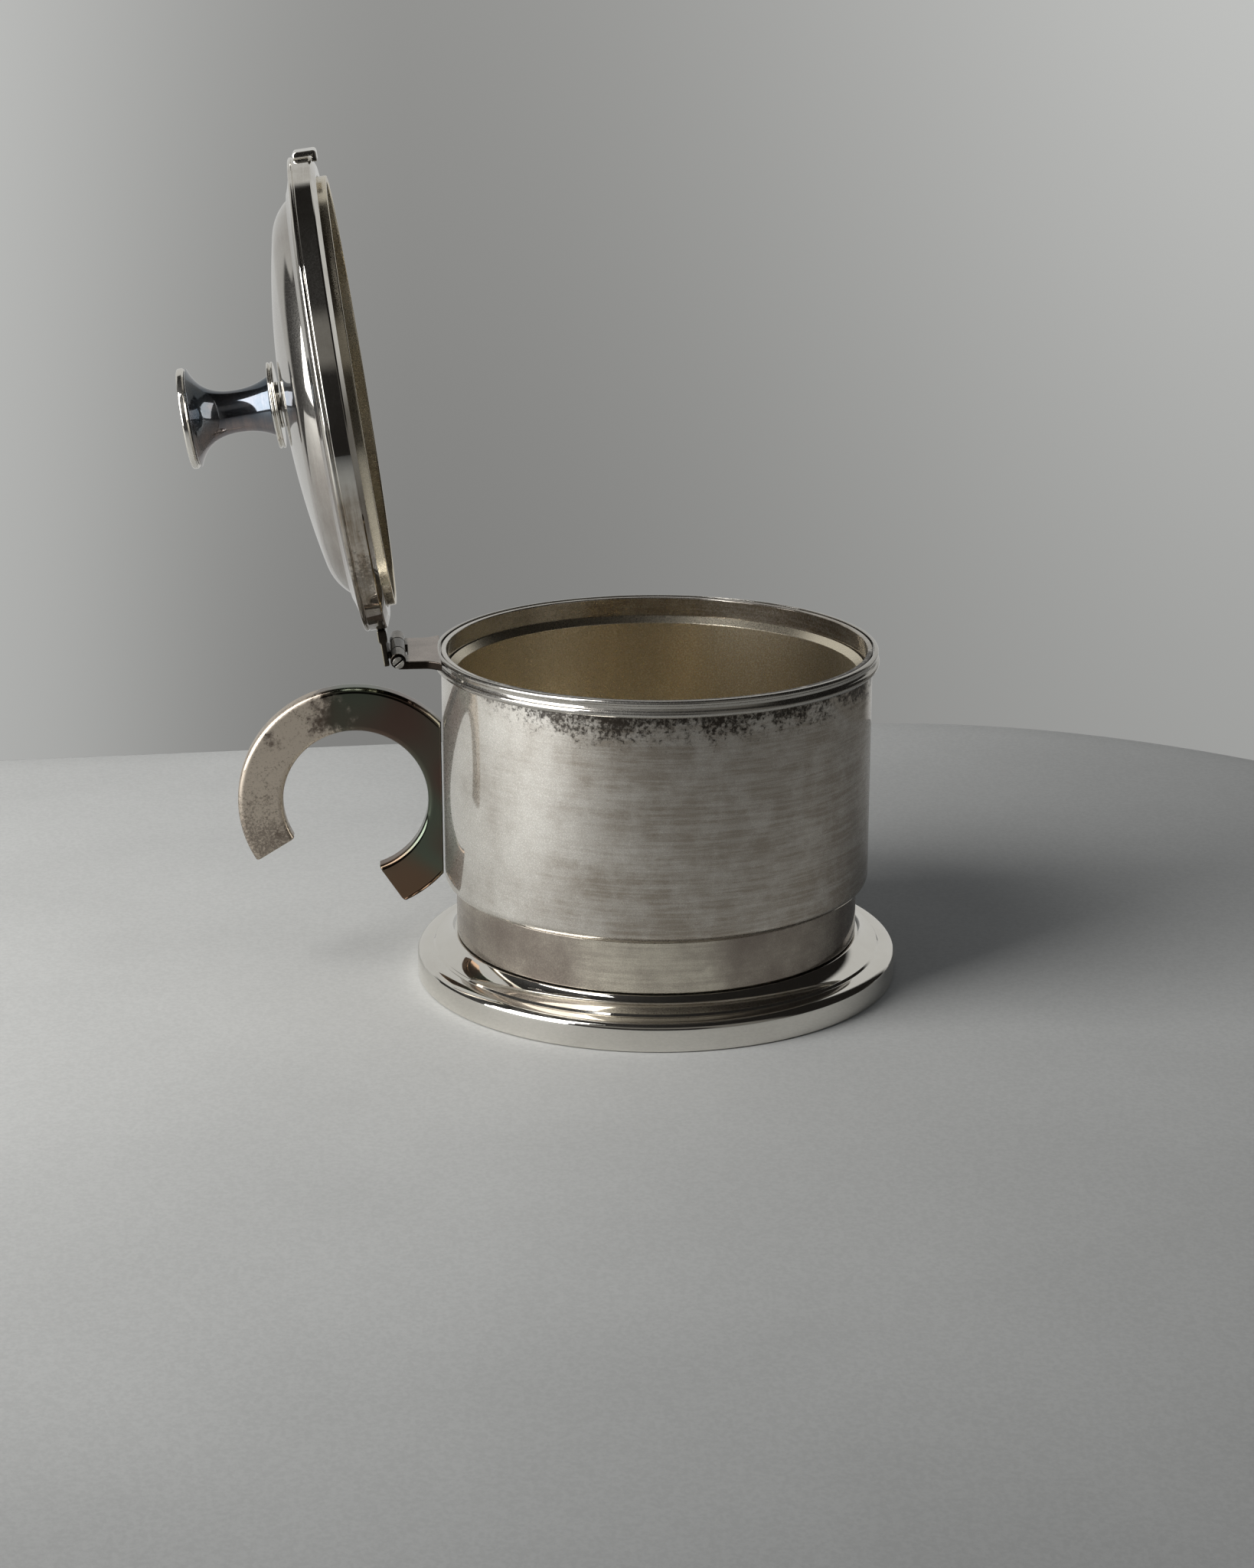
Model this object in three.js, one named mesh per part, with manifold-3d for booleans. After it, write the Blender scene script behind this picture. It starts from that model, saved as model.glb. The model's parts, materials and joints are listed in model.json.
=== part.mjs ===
// A round box in silver plate, with a hinged domed lid, a turned knob and a flat ring handle.
// Millimetres, +Z up. The box stands on its foot and the lid leans open on its hinge.
// The origin is on the table, under the middle of that pose.

import * as THREE from "three";
import { mergeVertices } from "three/addons/utils/BufferGeometryUtils.js";
import Module from "manifold-3d";

const wasm = await Module();
wasm.setup();

// Fits
const SEAM = 0.3; // between soldered, seated or screwed pieces
const PIN_PLAY = 0.2; // round the hinge screw, in its knuckles
const KNUCKLE_PLAY = 0.3; // beside and round the middle knuckle
const LID_PLAY = 0.6; // round the bezel, in the mouth
const LID_REST = 0.3; // under the closed lid, over the rim

// Drum, the main wall
const DRUM_RADIUS = 48.4;
const DRUM_RISE = 54.2;
const DRUM_WALL = 1.2;
const DRUM_CORNER = 2.2; // round of its lower edge
const DRUM_TURN_IN = 2.7; // width of the flat that its lower edge turns in to

// Collar, the narrower wall under the drum
const COLLAR_INSET = 2.6; // inside the drum's face
const COLLAR_RISE = 11.7;
const COLLAR_WALL = 1.2;

// Foot, from its upright band inwards
const BAND_RISE = 4.6;
const OVOLO_WIDTH = 3.7;
const OVOLO_RISE = 2;
const FOOT_STEP = 0.5;
const COVE_WIDTH = 4.5;
const COVE_RISE = 2.5;
const FOOT_LEDGE = 0.5; // flat beside the collar
const FOOT_SEAT = 1.8; // flat that the collar stands on
const FOOT_WALL = 1.2;
const BASE_THICKNESS = 1.2;

// Inner bowl
const BOWL_GAP = 0.9; // between the bowl and the drum's wall
const BOWL_WALL = 1;
const BOWL_CORNER = 2; // outside
const LIP_DROP = 4.1; // from the mouth down to the bowl's lip
const LIP_RISE = 1.7; // height of the lip's chamfer

// Rim moulding
const RIM_WIDTH = 1.3;
const RIM_RISE = 3.8;
const RIM_PROUD = 0.2; // above the drum's edge
const LOWER_REED = 0.9; // radius
const UPPER_REED = 0.6; // radius
const UPPER_REED_INSET = 0.25;
const REED_GROOVE = 0.65; // depth of the groove between the reeds
const REED_TURN = 60; // degrees that each reed turns past its widest point

// Handle
const HANDLE_REACH = 19.8; // from the drum's face to the ring's centre
const HANDLE_HEIGHT = 20; // of the ring's centre, over the drum's lower edge
const HANDLE_RADIUS = 26.4;
const HANDLE_HOLE = 16.3; // radius
const HANDLE_THICKNESS = 5;
const HANDLE_EDGE = 1.15; // radius of its rounded edges
const ARM_END = 211; // degrees round the ring, from the drum over the top
const STUB_END_INSIDE = -72.5;
const STUB_END_OUTSIDE = -66.3;

// Hinge
const PIN_REACH = 9.6; // from the drum's face
const PIN_HEIGHT = 0.3; // over the drum's edge
const PIN_RADIUS = 0.9;
const PIN_END = 1.7; // past the far knuckle
const HEAD_RADIUS = 1.25;
const HEAD_THICKNESS = 1.4;
const SLOT_WIDTH = 0.4;
const SLOT_DEPTH = 0.6;
const SLOT_TURN = 40; // degrees
const HINGE_WIDTH = 22;
const MIDDLE_KNUCKLE = 8.4; // length
const KNUCKLE_RADIUS = 1.7;
const LEAF_DROP = 0.1; // from the pin's axis down to the leaf's top
const LEAF_THICKNESS = 1.8;
const LEAF_FLARE = 2.5; // each side, where the leaf meets the rim
const STRAP_THICKNESS = 1.2;
const STRAP_TAIL = 0.8; // past the pin's axis
const STRAP_ROOT = 2; // length of the thicker root beside the lid's band
const ROOT_SWELL = 0.4; // that the root is thicker by, on each face
const WEB_WIDTH = 2.4; // from the strap to the middle knuckle

// Lid, drawn closed, with its heights over its own lower edge
const LID_OPENING = 98; // degrees
const LID_HEIGHT = 1.3; // of its lower edge, over the drum's edge
const LID_OVERHANG = 1.4; // past the rim moulding
const LID_BAND_RISE = 4.84;
const LID_EDGE = 0.3; // chamfer of the lower edge
const SEAT_WIDTH = 2.1; // flat of the underside, outside the bezel
const BEAD_RADIUS = 0.47;
const BEAD_GROOVE = 0.25; // depth of the groove under the bead
const BEAD_START = -60; // degrees round the bead's section
const BEAD_END = 115;
const BORDER_START = 1.8; // width of the band's top, outside the dome's border
const BORDER_SLOPE = 0.16; // that the band's top rises
const BORDER_RISE = 1.3; // from the band to the dome's foot
const BORDER_WIDTH = 8.5; // from the lid's edge to the dome's foot
const DOME_FOOT_FLAT = 1.3;
const SHOULDER_WIDTH = 6.6; // from the dome's foot to its crown
const CROWN_RADIUS = 167;
const DOME_RISE = 14.6;
const DOME_SHEET = 1.1;
const BEZEL_DEPTH = 2.65;
const BEZEL_WALL = 1.2;

// Thumb lip, opposite the hinge
const THUMB_WIDTH = 8; // along the lid's edge
const THUMB_REACH = 1; // thickness
const THUMB_RISE = 3.6; // of its top, over the lid's lower edge
const THUMB_SHEET = 1.2; // thickness of the part under the lid's edge
const THUMB_WRAP = 1; // that this part runs in under the edge
const THUMB_ROUND = 0.7; // of its outer top edge
const THUMB_CORNER = 0.7; // of its outer lower edge

// Knob, from the dome up
const NECK_RADIUS = 5;
const NECK_RISE = 0.6;
const FLANGE_RADIUS = 9.35;
const FLANGE_RISE = 1.3;
const FLANGE_GROOVE = 0.6; // depth
const STEM_FOOT = 6.5; // radius
const STEM_WAIST = 4.6; // radius
const STEM_MOUTH = 10.8; // radius
const STEM_LOWER = 7.6; // height of its waist
const STEM_UPPER = 9.4; // from the waist to the mouth
const STEM_BORE = 6.5; // depth that the stud goes in
const STEM_HOLD = 0.62; // share of its upper height over which the waist runs on
const STEM_TURN = 0.86; // share of that height at which it turns out to the mouth
const STEM_SPREAD = 0.42; // share of the mouth's spread that it has there
const STEM_CHORDS = 5; // in each half of its curve
const CAP_RADIUS = 10.9;
const CAP_RISE = 1.7;
const CAP_EDGE = 0.5;

// Fixing inside the lid
const STUD_RADIUS = 1.5;
const STUD_TAIL = 0.9; // past the nut
const WASHER_RADIUS = 4;
const WASHER_THICKNESS = 1;
const NUT_RADIUS = 3.18; // to its corners
const NUT_THICKNESS = 2.4;

// Facets
const ROUND = 48; // sides of the large rings
const SMALL_ROUND = 32; // sides of the knob's rings
const ARC = 2; // a profile's arc has twice as many chords

// Places that follow
const footTop = BAND_RISE + OVOLO_RISE + FOOT_STEP + COVE_RISE;
const collarRadius = DRUM_RADIUS - COLLAR_INSET;
const collarBottom = footTop + SEAM;
const drumBottom = collarBottom + COLLAR_RISE + SEAM;
const drumTop = drumBottom + DRUM_RISE;
const mouthRadius = DRUM_RADIUS - DRUM_WALL;
const rimInside = DRUM_RADIUS + SEAM;
const rimRadius = rimInside + RIM_WIDTH;
const rimTop = drumTop + RIM_PROUD;
const pinRadial = DRUM_RADIUS + PIN_REACH;
const pinHeight = drumTop + PIN_HEIGHT;
const boreRadius = PIN_RADIUS + PIN_PLAY;
const strapInside = KNUCKLE_RADIUS + SEAM;
const bezelRadius = mouthRadius - LID_PLAY;
const bandInside = bezelRadius + SEAM;
const seatHeight = rimTop + LID_REST - (drumTop + LID_HEIGHT);
const lidRadius = rimRadius + LID_OVERHANG;
const borderRadius = lidRadius - BORDER_START - SEAM;
const domeFootRadius = lidRadius - BORDER_WIDTH;
const crownEdge = domeFootRadius - SHOULDER_WIDTH;
const borderHeight = LID_BAND_RISE + BORDER_SLOPE;
const ledgeHeight = borderHeight - DOME_SHEET - SEAM;
const footHeight = borderHeight + BORDER_RISE;
const studHole = STUD_RADIUS + SEAM;
const knobBottom = DOME_RISE + SEAM;
const stemBottom = knobBottom + NECK_RISE + FLANGE_RISE + SEAM;

const radians = THREE.MathUtils.degToRad;

// The path's points without the pairs that an arc and its neighbour share.
function pointsOf(path) {
  const points = path.getPoints(ARC);
  return points.filter((p, i) => i === 0 || p.distanceTo(points[i - 1]) > 1e-4);
}

// A profile that closes on itself, for a ring.
function closed(path) {
  const points = pointsOf(path);
  return [...points, points[0].clone()];
}

// A sheet's closed profile: its face runs along the path, and its thickness lies on the left.
function sheet(path, thickness) {
  const face = pointsOf(path);
  const normals = face.slice(1).map((p, i) => {
    const along = p.clone().sub(face[i]).normalize();
    return new THREE.Vector2(-along.y, along.x);
  });
  const back = face.map((p, i) => {
    const before = normals[Math.max(i - 1, 0)];
    const after = normals[Math.min(i, normals.length - 1)];
    const mitre = thickness / (1 + before.dot(after));
    return p.clone().addScaledVector(before, mitre).addScaledVector(after, mitre);
  });
  return [...face, ...back.reverse(), face[0].clone()];
}

// A rectangle from (inside, bottom) to (outside, top), for a plain ring.
function band(inside, outside, bottom, top) {
  return closed(
    new THREE.Path()
      .moveTo(inside, bottom)
      .lineTo(outside, bottom)
      .lineTo(outside, top)
      .lineTo(inside, top),
  );
}

// Turns an anticlockwise profile of (radius, height) points about the vertical axis.
function turned(points, sides = ROUND) {
  return new THREE.LatheGeometry(points, sides).rotateX(Math.PI / 2);
}

// A side view in (x, height), given a width along Y about the middle.
function upright(shape, width, settings = {}) {
  const depth = width - 2 * (settings.bevelThickness ?? 0);
  return new THREE.ExtrudeGeometry(shape, { bevelEnabled: false, ...settings, depth })
    .translate(0, 0, -depth / 2)
    .rotateX(Math.PI / 2);
}

// A cylinder along Y.
function rod(radius, length, x, y, z, sides = SMALL_ROUND) {
  return new THREE.CylinderGeometry(radius, radius, length, sides).translate(x, y, z);
}

function block(width, depth, height, x, y, z) {
  return new THREE.BoxGeometry(width, depth, height).translate(x, y, z);
}

// A cylinder along Z that cuts the seat of what is fixed to a round wall.
function wall(radius, x, bottom, top) {
  return new THREE.CylinderGeometry(radius, radius, top - bottom, 2 * ROUND)
    .rotateX(Math.PI / 2)
    .translate(x, 0, (bottom + top) / 2);
}

function solid(geometry) {
  const bare = geometry.clone();
  bare.deleteAttribute("normal");
  bare.deleteAttribute("uv");
  const merged = mergeVertices(bare, 1e-4);
  const mesh = new wasm.Mesh({
    numProp: 3,
    vertProperties: merged.attributes.position.array,
    triVerts: new Uint32Array(merged.index.array),
  });
  return new wasm.Manifold(mesh);
}

function geometryOf(made) {
  const mesh = made.getMesh();
  const geometry = new THREE.BufferGeometry();
  geometry.setAttribute("position", new THREE.BufferAttribute(mesh.vertProperties, 3));
  geometry.setIndex(new THREE.BufferAttribute(mesh.triVerts, 1));
  geometry.computeVertexNormals();
  return geometry;
}

// Joins the first pieces, then cuts the others from them.
function joinedAndCut(pieces, cuts) {
  const whole = pieces.map(solid).reduce((made, piece) => made.add(piece));
  return geometryOf(cuts.map(solid).reduce((made, piece) => made.subtract(piece), whole));
}

const plate = (color, roughness) =>
  new THREE.MeshStandardMaterial({ color, roughness, metalness: 1 });

const FINISHES = {
  polished: plate(0xc4c1bb, 0.18),
  worn: plate(0x9c968e, 0.32),
  tarnished: plate(0x6f675f, 0.38),
  inside: plate(0x8d8471, 0.4),
  steel: plate(0x8a8a88, 0.35),
};

function piece(name, geometry, finish) {
  const mesh = new THREE.Mesh(geometry, FINISHES[finish]);
  mesh.name = name;
  return mesh;
}

// The spread ring: upright band, ovolo, step, cove, and the flat that carries the collar.
function foot() {
  const cove = collarRadius + FOOT_LEDGE;
  const step = cove + COVE_WIDTH;
  const ovolo = step + FOOT_STEP;
  const outside = ovolo + OVOLO_WIDTH;
  const seatInside = collarRadius - FOOT_SEAT;
  const stepTop = footTop - COVE_RISE;
  const profile = new THREE.Path()
    .moveTo(outside - FOOT_WALL, 0)
    .lineTo(outside, 0)
    .lineTo(outside, BAND_RISE)
    .quadraticCurveTo(outside, stepTop - FOOT_STEP, ovolo, stepTop - FOOT_STEP)
    .lineTo(step, stepTop)
    .quadraticCurveTo(cove + COVE_WIDTH / 3, stepTop + COVE_RISE / 4, cove, footTop)
    .lineTo(seatInside, footTop)
    .lineTo(seatInside, footTop - FOOT_WALL)
    .lineTo(cove - FOOT_WALL / 2, footTop - FOOT_WALL)
    .lineTo(step - FOOT_WALL / 2, stepTop - FOOT_WALL)
    .lineTo(outside - FOOT_WALL, BAND_RISE - FOOT_WALL / 2);
  return turned(closed(profile));
}

function basePlate() {
  const radius = collarRadius - FOOT_SEAT - SEAM;
  const profile = new THREE.Path()
    .moveTo(0, footTop - BASE_THICKNESS)
    .lineTo(radius, footTop - BASE_THICKNESS)
    .lineTo(radius, footTop)
    .lineTo(0, footTop);
  return turned(pointsOf(profile));
}

function collar() {
  const top = collarBottom + COLLAR_RISE;
  return turned(band(collarRadius - COLLAR_WALL, collarRadius, collarBottom, top));
}

// The wall and the flat at its lower edge, which stands on the collar.
function drum() {
  const corner = DRUM_RADIUS - DRUM_CORNER;
  const profile = new THREE.Path()
    .moveTo(corner - DRUM_TURN_IN, drumBottom)
    .absarc(corner, drumBottom + DRUM_CORNER, DRUM_CORNER, -Math.PI / 2, 0)
    .lineTo(DRUM_RADIUS, drumTop);
  return turned(sheet(profile, DRUM_WALL));
}

// The bowl rests on the drum's flat. Its chamfered lip closes the gap to the drum's wall.
function innerBowl() {
  const bottom = drumBottom + DRUM_WALL + SEAM;
  const outside = mouthRadius - BOWL_GAP;
  const inside = outside - BOWL_WALL;
  const lipTop = drumTop - LIP_DROP;
  const lipRadius = mouthRadius - SEAM;
  const round = BOWL_CORNER - BOWL_WALL;
  const profile = new THREE.Path()
    .moveTo(0, bottom)
    .lineTo(outside - BOWL_CORNER, bottom)
    .absarc(outside - BOWL_CORNER, bottom + BOWL_CORNER, BOWL_CORNER, -Math.PI / 2, 0)
    .lineTo(outside, lipTop - LIP_RISE)
    .lineTo(lipRadius, lipTop - LIP_RISE / 2)
    .lineTo(lipRadius, lipTop)
    .lineTo(inside, lipTop - LIP_RISE)
    .lineTo(inside, bottom + BOWL_CORNER)
    .absarc(inside - round, bottom + BOWL_CORNER, round, 0, -Math.PI / 2, true)
    .lineTo(0, bottom + BOWL_WALL);
  return turned(pointsOf(profile));
}

// Two reeds with a groove between them, round the top of the drum.
function rimMoulding() {
  const bottom = rimTop - RIM_RISE;
  const upper = rimRadius - UPPER_REED_INSET - UPPER_REED;
  const turn = radians(REED_TURN);
  const profile = new THREE.Path()
    .moveTo(rimInside, bottom)
    .absarc(rimRadius - LOWER_REED, bottom + LOWER_REED, LOWER_REED, -Math.PI / 2, turn)
    .lineTo(rimRadius - REED_GROOVE, bottom + 2 * LOWER_REED + SEAM)
    .absarc(upper, rimTop - UPPER_REED, UPPER_REED, -turn, Math.PI / 2)
    .lineTo(rimInside, rimTop);
  return turned(closed(profile));
}

// A flat open ring with rounded edges, its back cut to the drum's face.
function handle() {
  const shape = new THREE.Shape()
    .absarc(0, 0, HANDLE_RADIUS, radians(STUB_END_OUTSIDE), radians(ARM_END))
    .absarc(0, 0, HANDLE_HOLE, radians(ARM_END), radians(STUB_END_INSIDE), true);
  const ring = upright(shape, HANDLE_THICKNESS, {
    bevelEnabled: true,
    bevelThickness: HANDLE_EDGE,
    bevelSize: HANDLE_EDGE,
    bevelOffset: -HANDLE_EDGE,
    bevelSegments: 2,
    curveSegments: 18,
  }).translate(-DRUM_RADIUS - HANDLE_REACH, 0, drumBottom + HANDLE_HEIGHT);
  return joinedAndCut([ring], [wall(rimInside, 0, 0, drumTop)]);
}

// The leaf, flared where it meets the rim, with a knuckle at each end of its outer edge.
function hingePlate() {
  const half = HINGE_WIDTH / 2;
  const seat = rimRadius + SEAM;
  const flared = half + LEAF_FLARE;
  const flareAngle = Math.asin(flared / seat);
  const sideStart = -Math.sqrt(seat ** 2 - half ** 2);
  const outline = new THREE.Shape()
    .moveTo(-pinRadial, -half)
    .lineTo(sideStart - LEAF_FLARE, -half)
    .quadraticCurveTo(sideStart, -half, -seat * Math.cos(flareAngle), -flared)
    .absarc(0, 0, seat, Math.PI + flareAngle, Math.PI - flareAngle, true)
    .quadraticCurveTo(sideStart, half, sideStart - LEAF_FLARE, half)
    .lineTo(-pinRadial, half);
  const leaf = new THREE.ExtrudeGeometry(outline, {
    depth: LEAF_THICKNESS,
    bevelEnabled: false,
    curveSegments: 4,
  }).translate(0, 0, pinHeight - LEAF_DROP - LEAF_THICKNESS);
  const length = half - MIDDLE_KNUCKLE / 2 - KNUCKLE_PLAY;
  const knuckles = [-1, 1].map((side) =>
    rod(KNUCKLE_RADIUS, length, -pinRadial, side * (half - length / 2), pinHeight),
  );
  const notch = 2 * (KNUCKLE_RADIUS + KNUCKLE_PLAY);
  return joinedAndCut(
    [leaf, ...knuckles],
    [
      block(notch, MIDDLE_KNUCKLE + 2 * KNUCKLE_PLAY, notch, -pinRadial, 0, pinHeight),
      rod(boreRadius, 2 * HINGE_WIDTH, -pinRadial, 0, pinHeight),
    ],
  );
}

// The slotted screw that both leaves turn on, its head at the front.
function hingeScrew() {
  const half = HINGE_WIDTH / 2;
  const neck = half + SEAM;
  const head = neck + HEAD_THICKNESS;
  const profile = new THREE.Path()
    .moveTo(0, -half - PIN_END)
    .lineTo(PIN_RADIUS, -half - PIN_END)
    .lineTo(PIN_RADIUS, neck)
    .lineTo(HEAD_RADIUS, neck)
    .lineTo(HEAD_RADIUS, head - HEAD_THICKNESS / 4)
    .lineTo(HEAD_RADIUS - HEAD_THICKNESS / 4, head)
    .lineTo(0, head);
  const slot = block(SLOT_WIDTH, 4 * HEAD_RADIUS, 2 * SLOT_DEPTH, 0, 0, head);
  slot.rotateZ(radians(SLOT_TURN));
  return joinedAndCut([turned(pointsOf(profile), SMALL_ROUND)], [slot])
    .rotateX(Math.PI / 2)
    .translate(-pinRadial, 0, pinHeight);
}

// The lid's deep edge: chamfered foot, upright face, bead, and the ledge that carries the dome.
function lidEdgeBand() {
  const ledge = borderRadius + SEAM;
  const beadRadial = lidRadius - BEAD_RADIUS;
  const beadHeight = LID_BAND_RISE - BEAD_RADIUS;
  const grooveHeight = beadHeight - BEAD_RADIUS;
  const profile = new THREE.Path()
    .moveTo(bandInside, seatHeight)
    .lineTo(bandInside + SEAT_WIDTH, seatHeight)
    .lineTo(lidRadius - LID_EDGE, 0)
    .lineTo(lidRadius, LID_EDGE)
    .lineTo(lidRadius, grooveHeight - BEAD_GROOVE)
    .lineTo(lidRadius - BEAD_GROOVE, grooveHeight)
    .absarc(beadRadial, beadHeight, BEAD_RADIUS, radians(BEAD_START), radians(BEAD_END))
    .lineTo(ledge, borderHeight)
    .lineTo(ledge, ledgeHeight)
    .lineTo(bandInside, ledgeHeight);
  return turned(closed(profile));
}

// The spun cover: a border that rises to the foot, a round shoulder and a shallow crown.
function lidDome() {
  const crownCentre = new THREE.Vector2(0, DOME_RISE - CROWN_RADIUS);
  const crownTilt = Math.asin(crownEdge / CROWN_RADIUS);
  const meet = new THREE.Vector2(crownEdge, crownCentre.y + CROWN_RADIUS * Math.cos(crownTilt));
  const outward = new THREE.Vector2(Math.sin(crownTilt), Math.cos(crownTilt));
  const domeFoot = new THREE.Vector2(domeFootRadius, footHeight);
  const chord = domeFoot.clone().sub(meet);
  const shoulderRadius = chord.lengthSq() / (-2 * chord.dot(outward));
  const shoulderCentre = meet.clone().addScaledVector(outward, -shoulderRadius);
  const footAngle = domeFoot.clone().sub(shoulderCentre).angle();
  const meetAngle = Math.PI / 2 - crownTilt;
  const holeAngle = Math.PI / 2 - Math.asin(studHole / CROWN_RADIUS);
  const flat = domeFootRadius + DOME_FOOT_FLAT;
  const profile = new THREE.Path()
    .moveTo(borderRadius, borderHeight)
    .quadraticCurveTo((borderRadius + flat) / 2, borderHeight + BORDER_RISE / 4, flat, footHeight)
    .lineTo(domeFootRadius, footHeight)
    .absarc(shoulderCentre.x, shoulderCentre.y, shoulderRadius, footAngle, meetAngle)
    .absarc(0, crownCentre.y, CROWN_RADIUS, meetAngle, holeAngle);
  return turned(sheet(profile, DOME_SHEET));
}

function lidBezel() {
  return turned(band(bezelRadius - BEZEL_WALL, bezelRadius, -BEZEL_DEPTH, ledgeHeight));
}

// The small lip that lifts the lid: it stands out from the band and turns in under its edge.
function lidThumbLip() {
  const outside = lidRadius + SEAM + THUMB_REACH;
  const inside = lidRadius - THUMB_WRAP;
  const bottom = -SEAM - THUMB_SHEET;
  const side = new THREE.Shape()
    .moveTo(inside, bottom)
    .lineTo(outside - THUMB_CORNER, bottom)
    .absarc(outside - THUMB_CORNER, bottom + THUMB_CORNER, THUMB_CORNER, -Math.PI / 2, 0)
    .absarc(outside - THUMB_ROUND, THUMB_RISE - THUMB_ROUND, THUMB_ROUND, 0, Math.PI / 2)
    .lineTo(inside, THUMB_RISE);
  return joinedAndCut(
    [upright(side, THUMB_WIDTH, { curveSegments: 2 * ARC })],
    [wall(lidRadius + SEAM, 0, -SEAM, 2 * THUMB_RISE)],
  );
}

// The strap over the knuckles, with its root cut to the lid's band, drawn about the pin's axis.
function lidHingeStrap() {
  const outside = strapInside + STRAP_THICKNESS;
  const root = pinRadial - lidRadius - SEAM - STRAP_ROOT;
  const buried = root + 2 * STRAP_ROOT;
  const side = new THREE.Shape()
    .moveTo(-STRAP_TAIL, strapInside)
    .lineTo(root - ROOT_SWELL, strapInside)
    .lineTo(root, strapInside - ROOT_SWELL)
    .lineTo(buried, strapInside - ROOT_SWELL)
    .lineTo(buried, outside + ROOT_SWELL)
    .lineTo(root, outside + ROOT_SWELL)
    .lineTo(root - ROOT_SWELL, outside)
    .lineTo(-STRAP_TAIL, outside);
  return joinedAndCut(
    [
      upright(side, HINGE_WIDTH),
      block(Math.min(WEB_WIDTH, 2 * STRAP_TAIL), MIDDLE_KNUCKLE, outside, 0, 0, outside / 2),
      rod(KNUCKLE_RADIUS, MIDDLE_KNUCKLE, 0, 0, 0),
    ],
    [
      rod(boreRadius, 2 * HINGE_WIDTH, 0, 0, 0),
      wall(lidRadius + SEAM, pinRadial, -2 * outside, 4 * outside),
    ],
  );
}

// The knob's foot: a short neck under a flange with a grooved edge.
function knobBase() {
  const flange = knobBottom + NECK_RISE;
  const top = flange + FLANGE_RISE;
  const profile = new THREE.Path()
    .moveTo(studHole, knobBottom)
    .lineTo(NECK_RADIUS, knobBottom)
    .lineTo(NECK_RADIUS, flange)
    .lineTo(FLANGE_RADIUS, flange)
    .lineTo(FLANGE_RADIUS, flange + FLANGE_RISE / 3)
    .lineTo(FLANGE_RADIUS - FLANGE_GROOVE, flange + FLANGE_RISE / 2)
    .lineTo(FLANGE_RADIUS, top - FLANGE_RISE / 3)
    .lineTo(FLANGE_RADIUS, top)
    .lineTo(studHole, top);
  return turned(closed(profile), SMALL_ROUND);
}

// The waisted stem, bored from below for the stud.
function knobStem() {
  const waist = stemBottom + STEM_LOWER;
  const top = waist + STEM_UPPER;
  const profile = new THREE.Path()
    .moveTo(studHole, stemBottom)
    .lineTo(STEM_FOOT, stemBottom)
    .bezierCurveTo(
      (STEM_FOOT + STEM_WAIST) / 2,
      stemBottom + STEM_LOWER / 4,
      STEM_WAIST,
      stemBottom + STEM_LOWER / 2,
      STEM_WAIST,
      waist,
    )
    .bezierCurveTo(
      STEM_WAIST,
      waist + STEM_HOLD * STEM_UPPER,
      STEM_WAIST + STEM_SPREAD * (STEM_MOUTH - STEM_WAIST),
      waist + STEM_TURN * STEM_UPPER,
      STEM_MOUTH,
      top,
    )
    .lineTo(0, top);
  const points = profile.getPoints(STEM_CHORDS);
  const bore = [
    new THREE.Vector2(0, stemBottom + STEM_BORE),
    new THREE.Vector2(studHole, stemBottom + STEM_BORE),
  ];
  return turned([...bore, ...points], SMALL_ROUND);
}

function knobCap() {
  const bottom = stemBottom + STEM_LOWER + STEM_UPPER + SEAM;
  const top = bottom + CAP_RISE;
  const edge = CAP_RADIUS - CAP_EDGE;
  const profile = new THREE.Path()
    .moveTo(0, bottom)
    .lineTo(edge, bottom)
    .lineTo(CAP_RADIUS, bottom + CAP_EDGE)
    .absarc(edge, top - CAP_EDGE, CAP_EDGE, 0, Math.PI / 2)
    .lineTo(0, top);
  return turned(pointsOf(profile), SMALL_ROUND);
}

const domeUnder = DOME_RISE - DOME_SHEET;
const washerBottom = domeUnder - SEAM - WASHER_THICKNESS;
const nutBottom = washerBottom - SEAM - NUT_THICKNESS;

function knobStud() {
  const bottom = nutBottom - STUD_TAIL;
  const top = stemBottom + STEM_BORE - SEAM;
  const profile = new THREE.Path()
    .moveTo(0, bottom)
    .lineTo(STUD_RADIUS, bottom)
    .lineTo(STUD_RADIUS, top)
    .lineTo(0, top);
  return turned(pointsOf(profile), SMALL_ROUND);
}

function knobWasher() {
  const profile = band(studHole, WASHER_RADIUS, washerBottom, washerBottom + WASHER_THICKNESS);
  return turned(profile, SMALL_ROUND);
}

function knobNut() {
  const hexagon = new THREE.CylinderGeometry(NUT_RADIUS, NUT_RADIUS, NUT_THICKNESS, 6);
  const bore = new THREE.CylinderGeometry(studHole, studHole, 2 * NUT_THICKNESS, SMALL_ROUND);
  return joinedAndCut([hexagon], [bore])
    .rotateX(Math.PI / 2)
    .translate(0, 0, nutBottom + NUT_THICKNESS / 2);
}

const box = new THREE.Group();
box.add(
  piece("foot", foot(), "polished"),
  piece("base_plate", basePlate(), "worn"),
  piece("collar", collar(), "worn"),
  piece("drum", drum(), "worn"),
  piece("inner_bowl", innerBowl(), "inside"),
  piece("rim_moulding", rimMoulding(), "polished"),
  piece("handle", handle(), "tarnished"),
  piece("hinge_plate", hingePlate(), "worn"),
  piece("hinge_screw", hingeScrew(), "steel"),
);

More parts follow.
